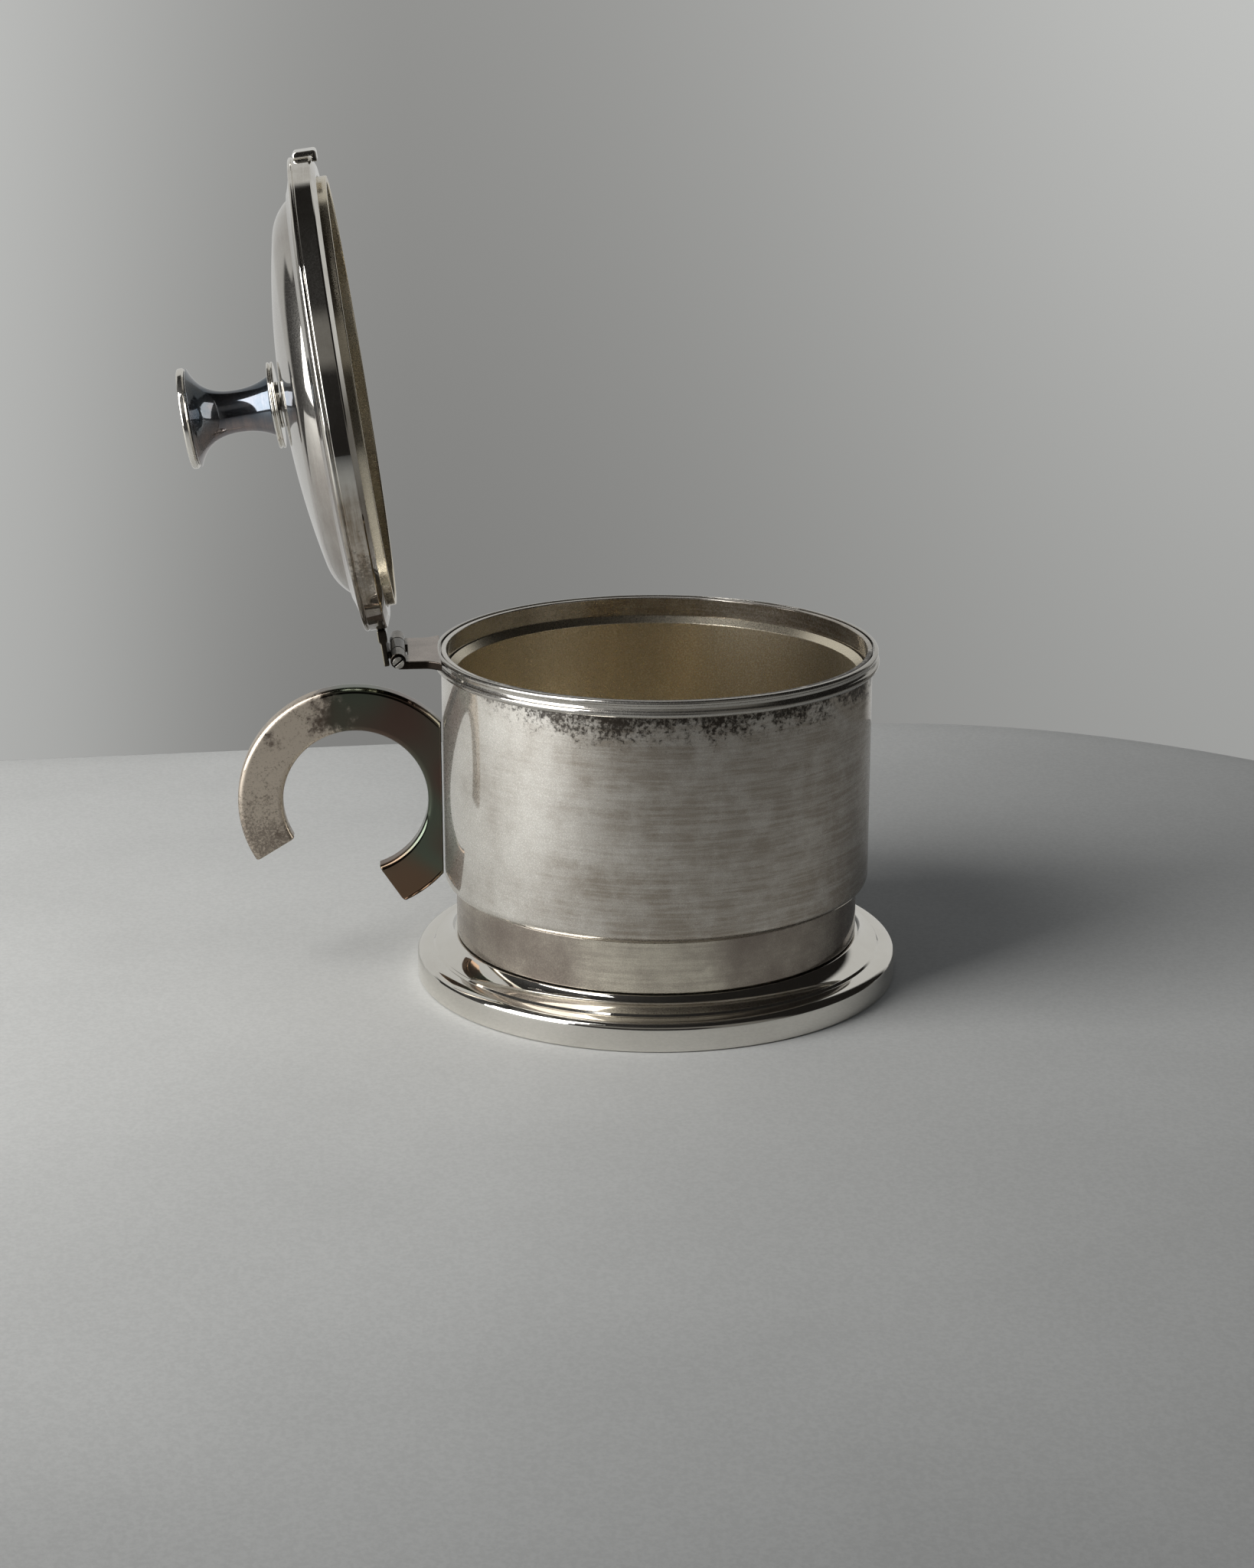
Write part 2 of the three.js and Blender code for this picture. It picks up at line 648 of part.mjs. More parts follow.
// What is turned about the lid's own axis, which lies over the drum's when the lid is closed
const cover = new THREE.Group();
cover.position.set(pinRadial, 0, LID_HEIGHT - PIN_HEIGHT);
cover.add(
  piece("lid_edge_band", lidEdgeBand(), "worn"),
  piece("lid_dome", lidDome(), "worn"),
  piece("lid_bezel", lidBezel(), "inside"),
  piece("lid_thumb_lip", lidThumbLip(), "worn"),
  piece("knob_base", knobBase(), "polished"),
  piece("knob_stem", knobStem(), "polished"),
  piece("knob_cap", knobCap(), "polished"),
  piece("knob_stud", knobStud(), "steel"),
  piece("knob_washer", knobWasher(), "steel"),
  piece("knob_nut", knobNut(), "steel"),
);

const lid = new THREE.Group();
lid.position.set(-pinRadial, 0, pinHeight);
lid.rotation.y = radians(-LID_OPENING);
lid.add(cover, piece("lid_hinge_strap", lidHingeStrap(), "tarnished"));

const whole = new THREE.Group();
whole.add(box, lid);
const extent = new THREE.Box3().setFromObject(whole, true);
const middle = extent.getCenter(new THREE.Vector3());
whole.position.set(-middle.x, -middle.y, -extent.min.z);

const liddedBox = new THREE.Group();
liddedBox.add(whole);

export default liddedBox;
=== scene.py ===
"""Dresses a round lidded box in worn silver plate and stands it on a pale table in soft light."""

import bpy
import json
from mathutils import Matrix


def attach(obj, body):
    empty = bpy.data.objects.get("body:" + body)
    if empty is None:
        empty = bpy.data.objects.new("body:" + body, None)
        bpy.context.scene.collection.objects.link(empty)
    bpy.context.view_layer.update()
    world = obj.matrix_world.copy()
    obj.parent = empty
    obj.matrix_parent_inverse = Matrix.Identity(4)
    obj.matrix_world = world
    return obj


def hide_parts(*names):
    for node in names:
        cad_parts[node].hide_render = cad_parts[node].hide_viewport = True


bl_info = {
    "name": "Silver Box Dresser",
    "version": (1, 0, 0),
    "blender": (4, 5, 0),
    "location": "View3D > Sidebar > Silver Box",
    "description": "Makes the smooth plate, handle, hinge and knob of a lidded box, and its studio",
    "category": "Object",
}

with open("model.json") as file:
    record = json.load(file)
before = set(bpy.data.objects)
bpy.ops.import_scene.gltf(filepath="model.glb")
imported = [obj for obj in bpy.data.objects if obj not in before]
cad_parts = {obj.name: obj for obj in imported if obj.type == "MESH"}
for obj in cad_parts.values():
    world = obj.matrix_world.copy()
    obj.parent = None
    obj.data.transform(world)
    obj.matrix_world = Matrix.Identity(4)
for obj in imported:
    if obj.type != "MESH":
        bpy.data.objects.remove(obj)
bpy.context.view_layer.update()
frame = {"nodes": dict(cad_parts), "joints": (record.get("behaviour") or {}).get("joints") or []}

import json
import math

import bmesh
import bpy
import numpy as np
from bpy.props import FloatProperty, FloatVectorProperty, IntProperty, PointerProperty

MM = 0.001  # metres; every size below is in millimetres

# Places read from the frame

HINGE = frame["joints"][0]
PIN = np.array(HINGE["pos_m"]) / MM
OPENING = math.radians(HINGE["range_deg"][1])


def turned_about_pin(points, angle):
    """Points turned by the right-hand rule about the pin, which lies along +Y: measured from the
    pin, x' = x cos a + z sin a and z' = z cos a - x sin a."""
    x, y, z = np.moveaxis(np.asarray(points) - PIN, -1, 0)
    across = x * math.cos(angle) + z * math.sin(angle)
    up = z * math.cos(angle) - x * math.sin(angle)
    return np.stack([across, y, up], -1) + (PIN[0], 0, PIN[2])


def corners(node, closed=False):
    """The lowest and highest corner of a node, in millimetres, and of a lid's node once closed."""
    mesh = frame["nodes"][node].data
    points = np.empty(3 * len(mesh.vertices))
    mesh.vertices.foreach_get("co", points)
    points = points.reshape(-1, 3) / MM
    if closed:
        points = turned_about_pin(points, OPENING)
    return points.min(0), points.max(0)


FOOT_LOW, FOOT_HIGH = corners("foot")
BASE_LOW, BASE_HIGH = corners("base_plate")
COLLAR_LOW, COLLAR_HIGH = corners("collar")
DRUM_LOW, DRUM_HIGH = corners("drum")
BOWL_LOW, BOWL_HIGH = corners("inner_bowl")
RIM_LOW, RIM_HIGH = corners("rim_moulding")
HANDLE_LOW, HANDLE_HIGH = corners("handle")
SCREW_LOW, SCREW_HIGH = corners("hinge_screw")
BAND_HIGH = corners("lid_edge_band", closed=True)[1]
DOME_HIGH = corners("lid_dome", closed=True)[1]
BEZEL_LOW, BEZEL_HIGH = corners("lid_bezel", closed=True)
KNOB_LOW, KNOB_HIGH = corners("knob_base", closed=True)
STEM_LOW, STEM_HIGH = corners("knob_stem", closed=True)
CAP_LOW, CAP_HIGH = corners("knob_cap", closed=True)
STUD_LOW, STUD_HIGH = corners("knob_stud", closed=True)
WASHER_LOW, WASHER_HIGH = corners("knob_washer", closed=True)
NUT_LOW, NUT_HIGH = corners("knob_nut", closed=True)
THUMB_LOW, THUMB_HIGH = corners("lid_thumb_lip", closed=True)

AXIS = float(FOOT_LOW[0] + FOOT_HIGH[0]) / 2  # x of the drum's axis, and of the closed lid's
BAND_SEAT = 3.6  # from the lid's lower edge up to the bezel's top, where the dome lies on the band
LID_EDGE = BEZEL_HIGH[2] - BAND_SEAT  # height of the closed lid's lower edge
SEAM = 0.3  # between pieces that are soldered or seated
HINGE_WIDTH = 22  # along the pin
BARREL = 1.7  # radius of the hinge's barrels
BORE = 1.1  # radius of the hole through them
MIDDLE_BARREL = 8.4  # length of the strap's own barrel


def linear(colour):
    """An sRGB hex colour as linear red, green, blue and alpha."""
    channels = np.array([int(colour[i : i + 2], 16) for i in (1, 3, 5)]) / 255
    dark = channels / 12.92
    light = ((channels + 0.055) / 1.055) ** 2.4
    return (*np.where(channels <= 0.04045, dark, light).tolist(), 1.0)


def length(name, description, default, least):
    """A length property with its default and its least value in millimetres."""
    size = {"default": default * MM, "min": least * MM, "unit": "LENGTH", "precision": 5}
    return FloatProperty(name=name, description=description, **size)


def swatch(name, description, colour):
    """A colour property with an sRGB hex default."""
    return FloatVectorProperty(
        name=name, description=description, subtype="COLOR", size=4, min=0, max=1, default=linear(colour)
    )


# What a user would change


class BoxSizes(bpy.types.PropertyGroup):
    steps: IntProperty(name="Steps", description="Facets round a turned piece", default=192, min=24, max=512)
    chords: IntProperty(name="Chords", description="Facets in a softened edge", default=4, min=2, max=12)
    edge: length("Edge", "Softening of the sheet's edges", 0.3, 0.05)
    wall: length("Wall", "Thickness of foot, collar and drum", 1.2, 0.4)
    reed: length("Reed", "Radius of the rim's lower reed", 0.9, 0.2)
    hole: length("Finger hole", "Radius of the handle's hole", 16.3, 5)
    handle_edge: length("Handle edge", "Rounding of the handle's edges", 1.15, 0.1)


class BoxColours(bpy.types.PropertyGroup):
    silver: swatch("Silver", "Clean plate", "#e6e3dc")
    dulled: swatch("Dulled silver", "Plate under an even thin film", "#c0bdb7")
    film: swatch("Film", "Thin brown tarnish", "#8f8272")
    deep: swatch("Deep tarnish", "Thick dark tarnish", "#2c2621")
    inside: swatch("Inside", "Warm film inside the bowl", "#ece2cc")
    steel: swatch("Steel", "Screw, stud, washer and nut", "#d0ccc4")
    table: swatch("Table", "Pale table top", "#c9c9c6")


def sizes():
    """The sizes as the user has set them, their lengths in metres."""
    return bpy.context.scene.silver_box_sizes


def colours():
    """The colours as the user has set them."""
    return bpy.context.scene.silver_box_colours


# Profiles, in (radius, height)


def bend(a, b, c, count=16):
    """A curve from a to c drawn towards b: (1 - t)^2 a + 2 t (1 - t) b + t^2 c."""
    a, b, c = np.array([a, b, c], float)
    t = np.linspace(0, 1, count)[:, None]
    return (1 - t) ** 2 * a + 2 * t * (1 - t) * b + t**2 * c


def curve(a, b, c, d, count=24):
    """A curve from a to d: (1 - t)^3 a + 3 t (1 - t)^2 b + 3 t^2 (1 - t) c + t^3 d."""
    a, b, c, d = np.array([a, b, c, d], float)
    t = np.linspace(0, 1, count)[:, None]
    return (1 - t) ** 3 * a + 3 * t * (1 - t) ** 2 * b + 3 * t**2 * (1 - t) * c + t**3 * d


def arc(centre, radius, start, end, count=14):
    """Points of a circle: centre + radius (cos t, sin t), with t from start to end in degrees."""
    t = np.radians(np.linspace(start, end, count))
    return np.array(centre) + radius * np.stack([np.cos(t), np.sin(t)], -1)


def oblong(inside, outside, bottom, top):
    """The section of a plain ring."""
    return np.array([(inside, bottom), (outside, bottom), (outside, top), (inside, top)], float)


def sheet(face, thickness):
    """A closed outline: the face, then the same line moved to its left by the thickness and run
    back. Each point moves along the mean of the normals of the two chords that meet there."""
    along = np.diff(face, axis=0)
    along /= np.linalg.norm(along, axis=1)[:, None]
    normals = np.stack([-along[:, 1], along[:, 0]], -1)
    before = np.concatenate([normals[:1], normals])
    after = np.concatenate([normals, normals[-1:]])
    mitre = thickness / (1 + (before * after).sum(1))
    back = face + (before + after) * mitre[:, None]
    return np.concatenate([face, back[::-1]])


def softened(points, radius, poles=False):
    """The outline with its corners rounded. At a corner p, between unit directions u and w with half
    the angle h between them, the arc of radius r touches both sides r / tan h from p and has its
    centre at p + (u + w) / |u + w| * r / sin h. No arc takes more than 0.42 of the shorter side: its
    radius shrinks to fit. One more point on each side keeps the flats flat. A corner of under 8
    degrees stays as it is, and so do both ends of an outline on the axis."""
    points = np.array(points, float)
    back = np.roll(points, 1, 0) - points
    ahead = np.roll(points, -1, 0) - points
    back_length = np.maximum(np.linalg.norm(back, axis=1), 1e-9)
    ahead_length = np.maximum(np.linalg.norm(ahead, axis=1), 1e-9)
    u = back / back_length[:, None]
    w = ahead / ahead_length[:, None]
    half = np.maximum(np.arccos(np.clip((u * w).sum(1), -1, 1)) / 2, 1e-3)
    reach = 0.42 * np.minimum(back_length, ahead_length)
    touch = np.minimum(radius / np.tan(half), reach)
    fitted = touch * np.tan(half)
    inward = u + w
    inward /= np.maximum(np.linalg.norm(inward, axis=1), 1e-9)[:, None]
    centre = points + inward * (fitted / np.sin(half))[:, None]
    start = points + u * touch[:, None]
    end = points + w * touch[:, None]
    first = np.arctan2(start[:, 1] - centre[:, 1], start[:, 0] - centre[:, 0])
    last = np.arctan2(end[:, 1] - centre[:, 1], end[:, 0] - centre[:, 0])
    sweep = (last - first + math.pi) % (2 * math.pi) - math.pi
    share = np.linspace(0, 1, sizes().chords + 1)
    angle = first[:, None] + sweep[:, None] * share
    rounds = centre[:, None] + fitted[:, None, None] * np.stack([np.cos(angle), np.sin(angle)], -1)
    guard = (0.15 * reach)[:, None]
    rounds = np.concatenate([(start + u * guard)[:, None], rounds, (end + w * guard)[:, None]], 1)
    plain = half > math.radians(86)
    if poles:
        plain[[0, -1]] = True
    rounds[plain, 0] = points[plain]
    kept = np.ones(rounds.shape[:2], bool)
    kept[plain, 1:] = False
    return rounds[kept]


# Surfaces: each shell is an array of points and one of four-sided faces


def grid_faces(rows, columns, wrap_rows):
    """The faces of a grid whose point (i, j) is number i * columns + j. Its columns close on
    themselves, and so do its rows where wrap_rows is set."""
    i = np.arange(rows if wrap_rows else rows - 1)[:, None]
    j = np.arange(columns)[None]
    below = (i + 1) % rows
    right = (j + 1) % columns
    quads = [i * columns + j, i * columns + right, below * columns + right, below * columns + j]
    return np.stack(quads, -1).reshape(-1, 4)


def turned(outline, centre=(AXIS, 0, 0), along="z", flats=0):
    """A shell turned on the lathe. The outline's point (r, h) goes round an upright axis as
    (r cos t, r sin t, h), or round one along Y as (r cos t, h, r sin t). An outline that starts on
    the axis ends on it too, and any other closes on itself. With flats, the points beyond 0.7 of
    the widest r follow a polygon: r / cos of the angle from the middle of the nearest flat, cut back
    to 1.14 of the widest."""
    steps = sizes().steps
    t = np.linspace(0, 2 * math.pi, steps, endpoint=False)
    radius, height = outline[:, :1], outline[:, 1:]
    if flats:
        sector = 2 * math.pi / flats
        grown = 1 / np.cos((t + sector / 2) % sector - sector / 2)
        widest = outline[:, 0].max()
        radius = np.where(radius > 0.7 * widest, np.minimum(radius * grown, widest * 1.14), radius)
    across = radius * np.cos(t)
    depth = radius * np.sin(t)
    level = np.broadcast_to(height, across.shape)
    order = (across, depth, level) if along == "z" else (across, level, depth)
    points = np.stack(order, -1).reshape(-1, 3) + np.array(centre)
    return points, grid_faces(len(outline), steps, outline[0, 0] > 1e-6)


def lofted(sections):
    """A shell over sections, an array of loops of points. Each end runs to the middle of its loop."""
    first = np.broadcast_to(sections[0].mean(0), sections[0].shape)
    last = np.broadcast_to(sections[-1].mean(0), sections[-1].shape)
    rings = np.concatenate([first[None], sections, last[None]])
    return rings.reshape(-1, 3), grid_faces(len(rings), rings.shape[1], False)


def rounded_bar(half_width, half_height, radius, places, end=None, reach=None):
    """The (u, v) loops and places of a bar with round edges and ends. At the corner (a, b) of signs
    a loop's points are (a (w - r) + r cos t, b (h - r) + r sin t), with one more point past each
    end of the arc. At a quarter turn t from an end the loop is smaller by e (1 - sin t), with e the
    end's own radius, and lies further in by reach (1 - cos t), in the unit of the places. Widths
    and heights may be functions of the place."""
    end = radius if end is None else end
    reach = end if reach is None else reach
    t = np.linspace(0, math.pi / 2, sizes().chords + 1)[:-1]
    inset = end * (1 - np.sin(t))
    deeper = reach * (1 - np.cos(t))
    first, last = places[0], places[-1]
    middle = places[(places > first + reach * 1.01) & (places < last - reach * 1.01)]
    place = np.concatenate([first + deeper, [first + reach], middle, [last - reach], (last - deeper)[::-1]])
    shrink = np.concatenate([inset, np.zeros(len(middle) + 2), inset[::-1]])
    width = half_width(place) if callable(half_width) else half_width
    height = half_height(place) if callable(half_height) else half_height
    turns = np.arange(4)[:, None] * math.pi / 2 + np.linspace(0, math.pi / 2, sizes().chords + 1)
    turns = np.concatenate([turns[:, :1], turns, turns[:, -1:]], 1)
    past = 0.12
    slide = np.zeros(turns.shape)
    slide[:, 0] = -past
    slide[:, -1] = past
    a = np.array([1, -1, -1, 1])[:, None]
    b = np.array([1, 1, -1, -1])[:, None]
    w = np.broadcast_to(width - shrink, place.shape)[:, None, None]
    h = np.broadcast_to(height - shrink, place.shape)[:, None, None]
    r = np.maximum(radius - shrink, 0.05)[:, None, None]
    u = a * (w - r) + r * np.cos(turns) - np.sin(turns) * slide
    v = b * (h - r) + r * np.sin(turns) + np.cos(turns) * slide
    return u.reshape(len(place), -1), v.reshape(len(place), -1), place[:, None]


def block(x, y, z, radius):
    """A shell round a block with round edges, between pairs of x, y and z."""
    u, v, run = rounded_bar((y[1] - y[0]) / 2, (z[1] - z[0]) / 2, radius, np.linspace(*x, 5))
    return lofted(np.stack([run + 0 * u, u + sum(y) / 2, v + sum(z) / 2], -1))


def made(name, *shells, lid=False):
    """One smooth mesh object at the origin out of closed shells, in millimetres. A shell's volume is
    the sum over its triangles a, b, c of a . (b x c) / 6, and where that is negative its faces are
    turned round, so that they face outwards. A lid's piece is drawn closed and then opened."""
    points, faces = [], []
    count = 0
    for where, quads in shells:
        a, b, c, d = (where[quads[:, i]] - where.mean(0) for i in range(4))
        volume = (a * np.cross(b, c)).sum() + (a * np.cross(c, d)).sum()
        points.append(where)
        faces.append((quads if volume > 0 else quads[:, ::-1]) + count)
        count += len(where)
    points = np.concatenate(points)
    if lid:
        points = turned_about_pin(points, -OPENING)
    mesh = bpy.data.meshes.new(name)
    mesh.from_pydata((points * MM).tolist(), [], np.concatenate(faces).tolist())
    welded = bmesh.new()
    welded.from_mesh(mesh)
    bmesh.ops.remove_doubles(welded, verts=welded.verts, dist=1e-7)
    welded.to_mesh(mesh)
    welded.free()
    mesh.polygons.foreach_set("use_smooth", np.ones(len(mesh.polygons), bool))
    piece = bpy.data.objects.new(name, mesh)
    bpy.context.scene.collection.objects.link(piece)
    return piece


def dressed(piece, material, slot, body, *nodes):
    """Gives a piece its material, its body and the CAD nodes that it stands for."""
    piece.data.materials.append(material)
    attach(piece, body)
    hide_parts(*nodes)
    return piece


# Materials


def add(tree, kind, inputs=(), **settings):
    """Adds the shader node of that kind, with its settings and its inputs. An input is a value, the
    output of another node, or another node, which stands for its first output."""
    node = tree.nodes.new("ShaderNode" + kind)
    for key, value in settings.items():
        setattr(node, key, value)
    for key, value in dict(inputs).items():
        if isinstance(value, bpy.types.Node):
            value = value.outputs[0]
        if isinstance(value, bpy.types.NodeSocket):
            tree.links.new(value, node.inputs[key])
        else:
            node.inputs[key].default_value = value
    return node


def new_tree(name):
    """A new material and its empty node tree."""
    material = bpy.data.materials.new(name)
    material.use_nodes = True
    material.node_tree.nodes.clear()
    return material, material.node_tree


def place(tree, lid=False):
    """Object coordinates from the drum's axis, those of the lid turned back to closed."""
    where = add(tree, "TexCoord").outputs["Object"]
    if not lid:
        return add(tree, "Mapping", {0: where, "Location": (-AXIS * MM, 0, 0)})
    about_pin = add(tree, "Mapping", {0: where, "Location": (-PIN[0] * MM, 0, -PIN[2] * MM)})
    home = ((PIN[0] - AXIS) * MM, 0, PIN[2] * MM)
    return add(tree, "Mapping", {0: about_pin, "Rotation": (0, OPENING, 0), "Location": home})


def lumps(where, size, detail=3.0, roughness=0.55, seed=0.0):
    """The inputs of a noise whose lumps are that many millimetres across. Another seed gives lumps
    in other places."""
    return {"Vector": where, "Scale": 1 / (size * MM), "Detail": detail, "Roughness": roughness, "W": seed}


def portion(tree, *parts, operation="MULTIPLY"):
    """A portion between 0 and 1: the product of its parts, or what another operation makes of them.
    A part is a value, or a tuple for a smooth step of a value: the value, where on it the step starts
    and ends, and the step's heights there unless they are 0 and 1."""
    result = None
    for part in parts:
        if isinstance(part, tuple):
            part = add(tree, "MapRange", dict(enumerate(part)), interpolation_type="SMOOTHSTEP")
        if result is None:
            result = part
        else:
            result = add(tree, "Math", {0: result, 1: part}, operation=operation, use_clamp=True)
    return result


def patch(tree, where, axis, none, full):
    """A portion that grows along an axis, or R for the distance from the lathe's axis, from none at
    one place to full at another, in mm."""
    if axis == "R":
        flat = add(tree, "Mapping", {0: where, "Scale": (1, 1, 0)})
        level = add(tree, "VectorMath", {0: flat}, operation="LENGTH").outputs["Value"]
    else:
        level = add(tree, "SeparateXYZ", {0: where}).outputs[axis]
    return portion(tree, (level, none * MM, full * MM))


def overlap(tree, where, patches):
    """The product of some patches, or 0 where there are none."""
    return portion(tree, *(patch(tree, where, *entry) for entry in patches)) if patches else 0.0


def metal(tree, where, base, clean, haze, dents):
    """A bare metal surface with shallow dents some 24 mm across. Part of it mirrors, as rough as
    clean, and the portion called haze scatters."""
    depth = add(tree, "TexNoise", lumps(where, 24, 1, 0.4, 11.0), noise_dimensions="4D")
    normal = add(tree, "Bump", {"Height": depth, "Distance": 0.4 * MM, "Strength": dents})
    inputs = {"Base Color": base, "Metallic": 1.0, "Roughness": clean, "Normal": normal}
    mirror = add(tree, "BsdfPrincipled", inputs)
    scatter = add(tree, "BsdfPrincipled", {**inputs, "Roughness": 0.48})
    both = add(tree, "MixShader", {0: haze, 1: mirror, 2: scatter})
    add(tree, "OutputMaterial", {"Surface": both})


def plate(name, clean, haze, film, deep, lid=False, silver=None, coat=None, worn=(), dark=(), side_shade=0.0):
    """Electroplated silver, spun, buffed and then used for decades. Its bright metal still mirrors,
    but countless rubbing scratches too fine to see throw a haze round each reflection, so part of
    each third of a millimetre is polished and part of it is rough. A thin brown film comes and goes
    in soft clouds and small mottles and along the lathe's lines, and dark tarnish gathers in grains.
    haze, film and deep are how much there is of each, and silver and coat are the metal's and the
    film's own colours. More film lies where all the entries of worn agree, and more grains where
    those of dark do: each is an axis and the places in mm where this starts and is full. On the drum
    and round the dome's foot these places also paint shade. The last argument is how dark a painted
    shade makes the hinge's faces, apart from its upper ones, which are the outer ones of the open lid.
    Real scratches are finer than the 0.35 mm drawn here, as coarse as they need to be to show."""
    material, tree = new_tree(name)
    where = place(tree, lid)
    level = add(tree, "Mapping", {0: where, "Scale": (0.05, 0.05, 1)})
    # Coordinates, size in mm, detail, roughness and seed of each pattern
    clouds, mottles, grains, rubs, lines = (
        add(tree, "TexNoise", lumps(*pattern), noise_dimensions="4D")
        for pattern in (
            (where, 24, 6, 0.68),
            (where, 6, 5, 0.7, 1.0),
            (where, 0.8, 5, 0.75, 3.0),
            (where, 0.35, 2, 0.6, 7.0),
            (level, 0.7, 4, 0.7, 13.0),
        )
    )
    coated = portion(tree, (clouds, 0.36, 0.68, 0.0, 0.6), overlap(tree, where, worn), operation="ADD")
    coated = portion(tree, coated, (mottles, 0.3, 0.62, 0.62, 1.0), (lines, 0.35, 0.65, 0.7, 1.1), film)
    gloom = portion(tree, overlap(tree, where, dark), (mottles, 0.36, 0.56, 0.7, 1.0))
    gloom = portion(tree, gloom, (clouds, 0.5, 0.7, 0.0, 0.2), operation="ADD")
    edge = portion(tree, (gloom, 0.0, 1.0, 0.7, 0.28))
    spots = portion(tree, (grains, edge, portion(tree, edge, 0.2, operation="ADD")))
    layers = [(coated, coat or colours().film), (portion(tree, spots, deep), colours().deep)]
    # Painted shade on the hinge: its faces darken as they turn away from above, or on the open lid from the
    # left
    if side_shade:
        normal = add(tree, "NewGeometry").outputs["Normal"]
        facing = add(tree, "SeparateXYZ", {0: normal}).outputs["X" if lid else "Z"]
        up = -1 if lid else 1
        layers.append((portion(tree, (facing, 0.75 * up, 0.2 * up, 0.0, side_shade)), colours().deep))
    base = silver or colours().silver
    for cover, colour in layers:
        base = add(tree, "Mix", {0: cover, 6: base, 7: colour}, data_type="RGBA").outputs[2]
    dusty = portion(tree, spots, 0.4 * deep)
    rubbed = portion(tree, (rubs, 0.3, 0.7, 0.6 * haze, 1.4 * haze), dusty, operation="ADD")
    metal(tree, where, base, clean, rubbed, dents=0.3)
    return material


def tarnished_plate(name):
    """Silver plate that hands have stopped rubbing: a smooth sulphide film as dark as gun metal,
    whose thickness turns it from brown to green-grey and wine in slow clouds, and which has worn off
    with a ragged edge on the outer arm, down to beige metal speckled with what is left of it."""
    material, tree = new_tree(name)
    where = place(tree)
    level = add(tree, "SeparateXYZ", {0: where}).outputs
    # Size in mm, detail, roughness and seed of each pattern
    clouds, blots, grains = (
        add(tree, "TexNoise", lumps(where, *pattern), noise_dimensions="4D")
        for pattern in ((22, 1, 0.4, 5.0), (9, 5, 0.7, 9.0), (0.45, 5, 0.8, 3.0))
    )
    tint = linear("#6a5748")
    for cover, colour in (
        (portion(tree, (clouds, 0.34, 0.5)), "#596054"),
        (portion(tree, (clouds, 0.5, 0.66)), "#5f4d45"),
        (patch(tree, where, "Z", 30, 14), "#6a5544"),
        (patch(tree, where, "X", -70, -76), "#5c4f46"),
    ):
        tint = add(tree, "Mix", {0: cover, 6: tint, 7: linear(colour)}, data_type="RGBA").outputs[2]
    # The film is gone where the blots reach an edge that sinks along the arm
    edge = portion(tree, (level["X"], -60 * MM, -84 * MM, 0.74, 0.26))
    bare = portion(tree, (blots, edge, portion(tree, edge, 0.16, operation="ADD")))
    # Specks of the film are left all over it, and most of them at its edge and near the arm's end
    fewer = portion(tree, (level["Z"], 34 * MM, 42 * MM, 0.3, 1.0), bare, operation="MINIMUM")
    left = portion(tree, fewer, (blots, 0.66, 0.4, 0.5, 1.0))
    left = portion(tree, (left, 0.2, 1.0, 0.4, 0.54))
    bare = portion(tree, bare, (grains, portion(tree, left, 0.14, operation="ADD"), left, 0.4, 1.0))
    base = add(tree, "Mix", {0: bare, 6: tint, 7: linear("#bcb1a3")}, data_type="RGBA").outputs[2]
    metal(tree, where, base, clean=0.12, haze=portion(tree, bare, 0.85), dents=0.25)
    return material


def turned_steel(name, slot=None):
    """Plain turned steel, left as machined: darker and duller than the plate, with oily rub marks,
    and black behind a place along Y, the bottom of the screw's slot, which darkens the slot."""
    material, tree = new_tree(name)
    where = place(tree)
    rubs = add(tree, "TexNoise", lumps(where, 0.8), noise_dimensions="4D")
    marks = add(tree, "TexNoise", lumps(where, 1.5, seed=2.0), noise_dimensions="4D")
    oily = portion(tree, (marks, 0.35, 0.65))
    dull = tuple(0.6 * c for c in colours().steel[:3]) + (1.0,)
    tint = add(tree, "Mix", {0: oily, 6: colours().steel, 7: dull}, data_type="RGBA").outputs[2]
    if slot:
        deep_in_slot = patch(tree, where, "Y", slot, slot + 0.15)
        tint = add(tree, "Mix", {0: deep_in_slot, 6: tint, 7: linear("#1d1a17")}, data_type="RGBA").outputs[2]
    rough = portion(tree, (rubs, 0.35, 0.65, 0.28, 0.45))
    shader = add(tree, "BsdfPrincipled", {"Base Color": tint, "Metallic": 1.0, "Roughness": rough})
    add(tree, "OutputMaterial", {"Surface": shader})
    return material


def painted_board(name):
    """Matt painted board: pale, with broad faint clouds and a fine roller grain."""
    material, tree = new_tree(name)
    where = add(tree, "TexCoord").outputs["Object"]
    clouds = add(tree, "TexNoise", lumps(where, 90), noise_dimensions="4D")
    grain = add(tree, "TexNoise", lumps(where, 0.9, 3, 0.6, 4.0), noise_dimensions="4D")
    tint = tuple(0.94 * c for c in colours().table[:3]) + (1.0,)
    for cover, colour in (
        (portion(tree, (clouds, 0.35, 0.65)), colours().table),
        (portion(tree, (grain, 0.35, 0.65, 0.1, 0.0)), linear("#5c5c5a")),
    ):
        tint = add(tree, "Mix", {0: cover, 6: tint, 7: colour}, data_type="RGBA").outputs[2]
    bump = add(tree, "Bump", {"Height": grain, "Distance": 0.1 * MM, "Strength": 0.3})
    inputs = {"Base Color": tint, "Roughness": 0.75, "Specular IOR Level": 0.25, "Normal": bump}
    add(tree, "OutputMaterial", {"Surface": add(tree, "BsdfPrincipled", inputs)})
    return material


# Operators, one for each piece or group of like pieces


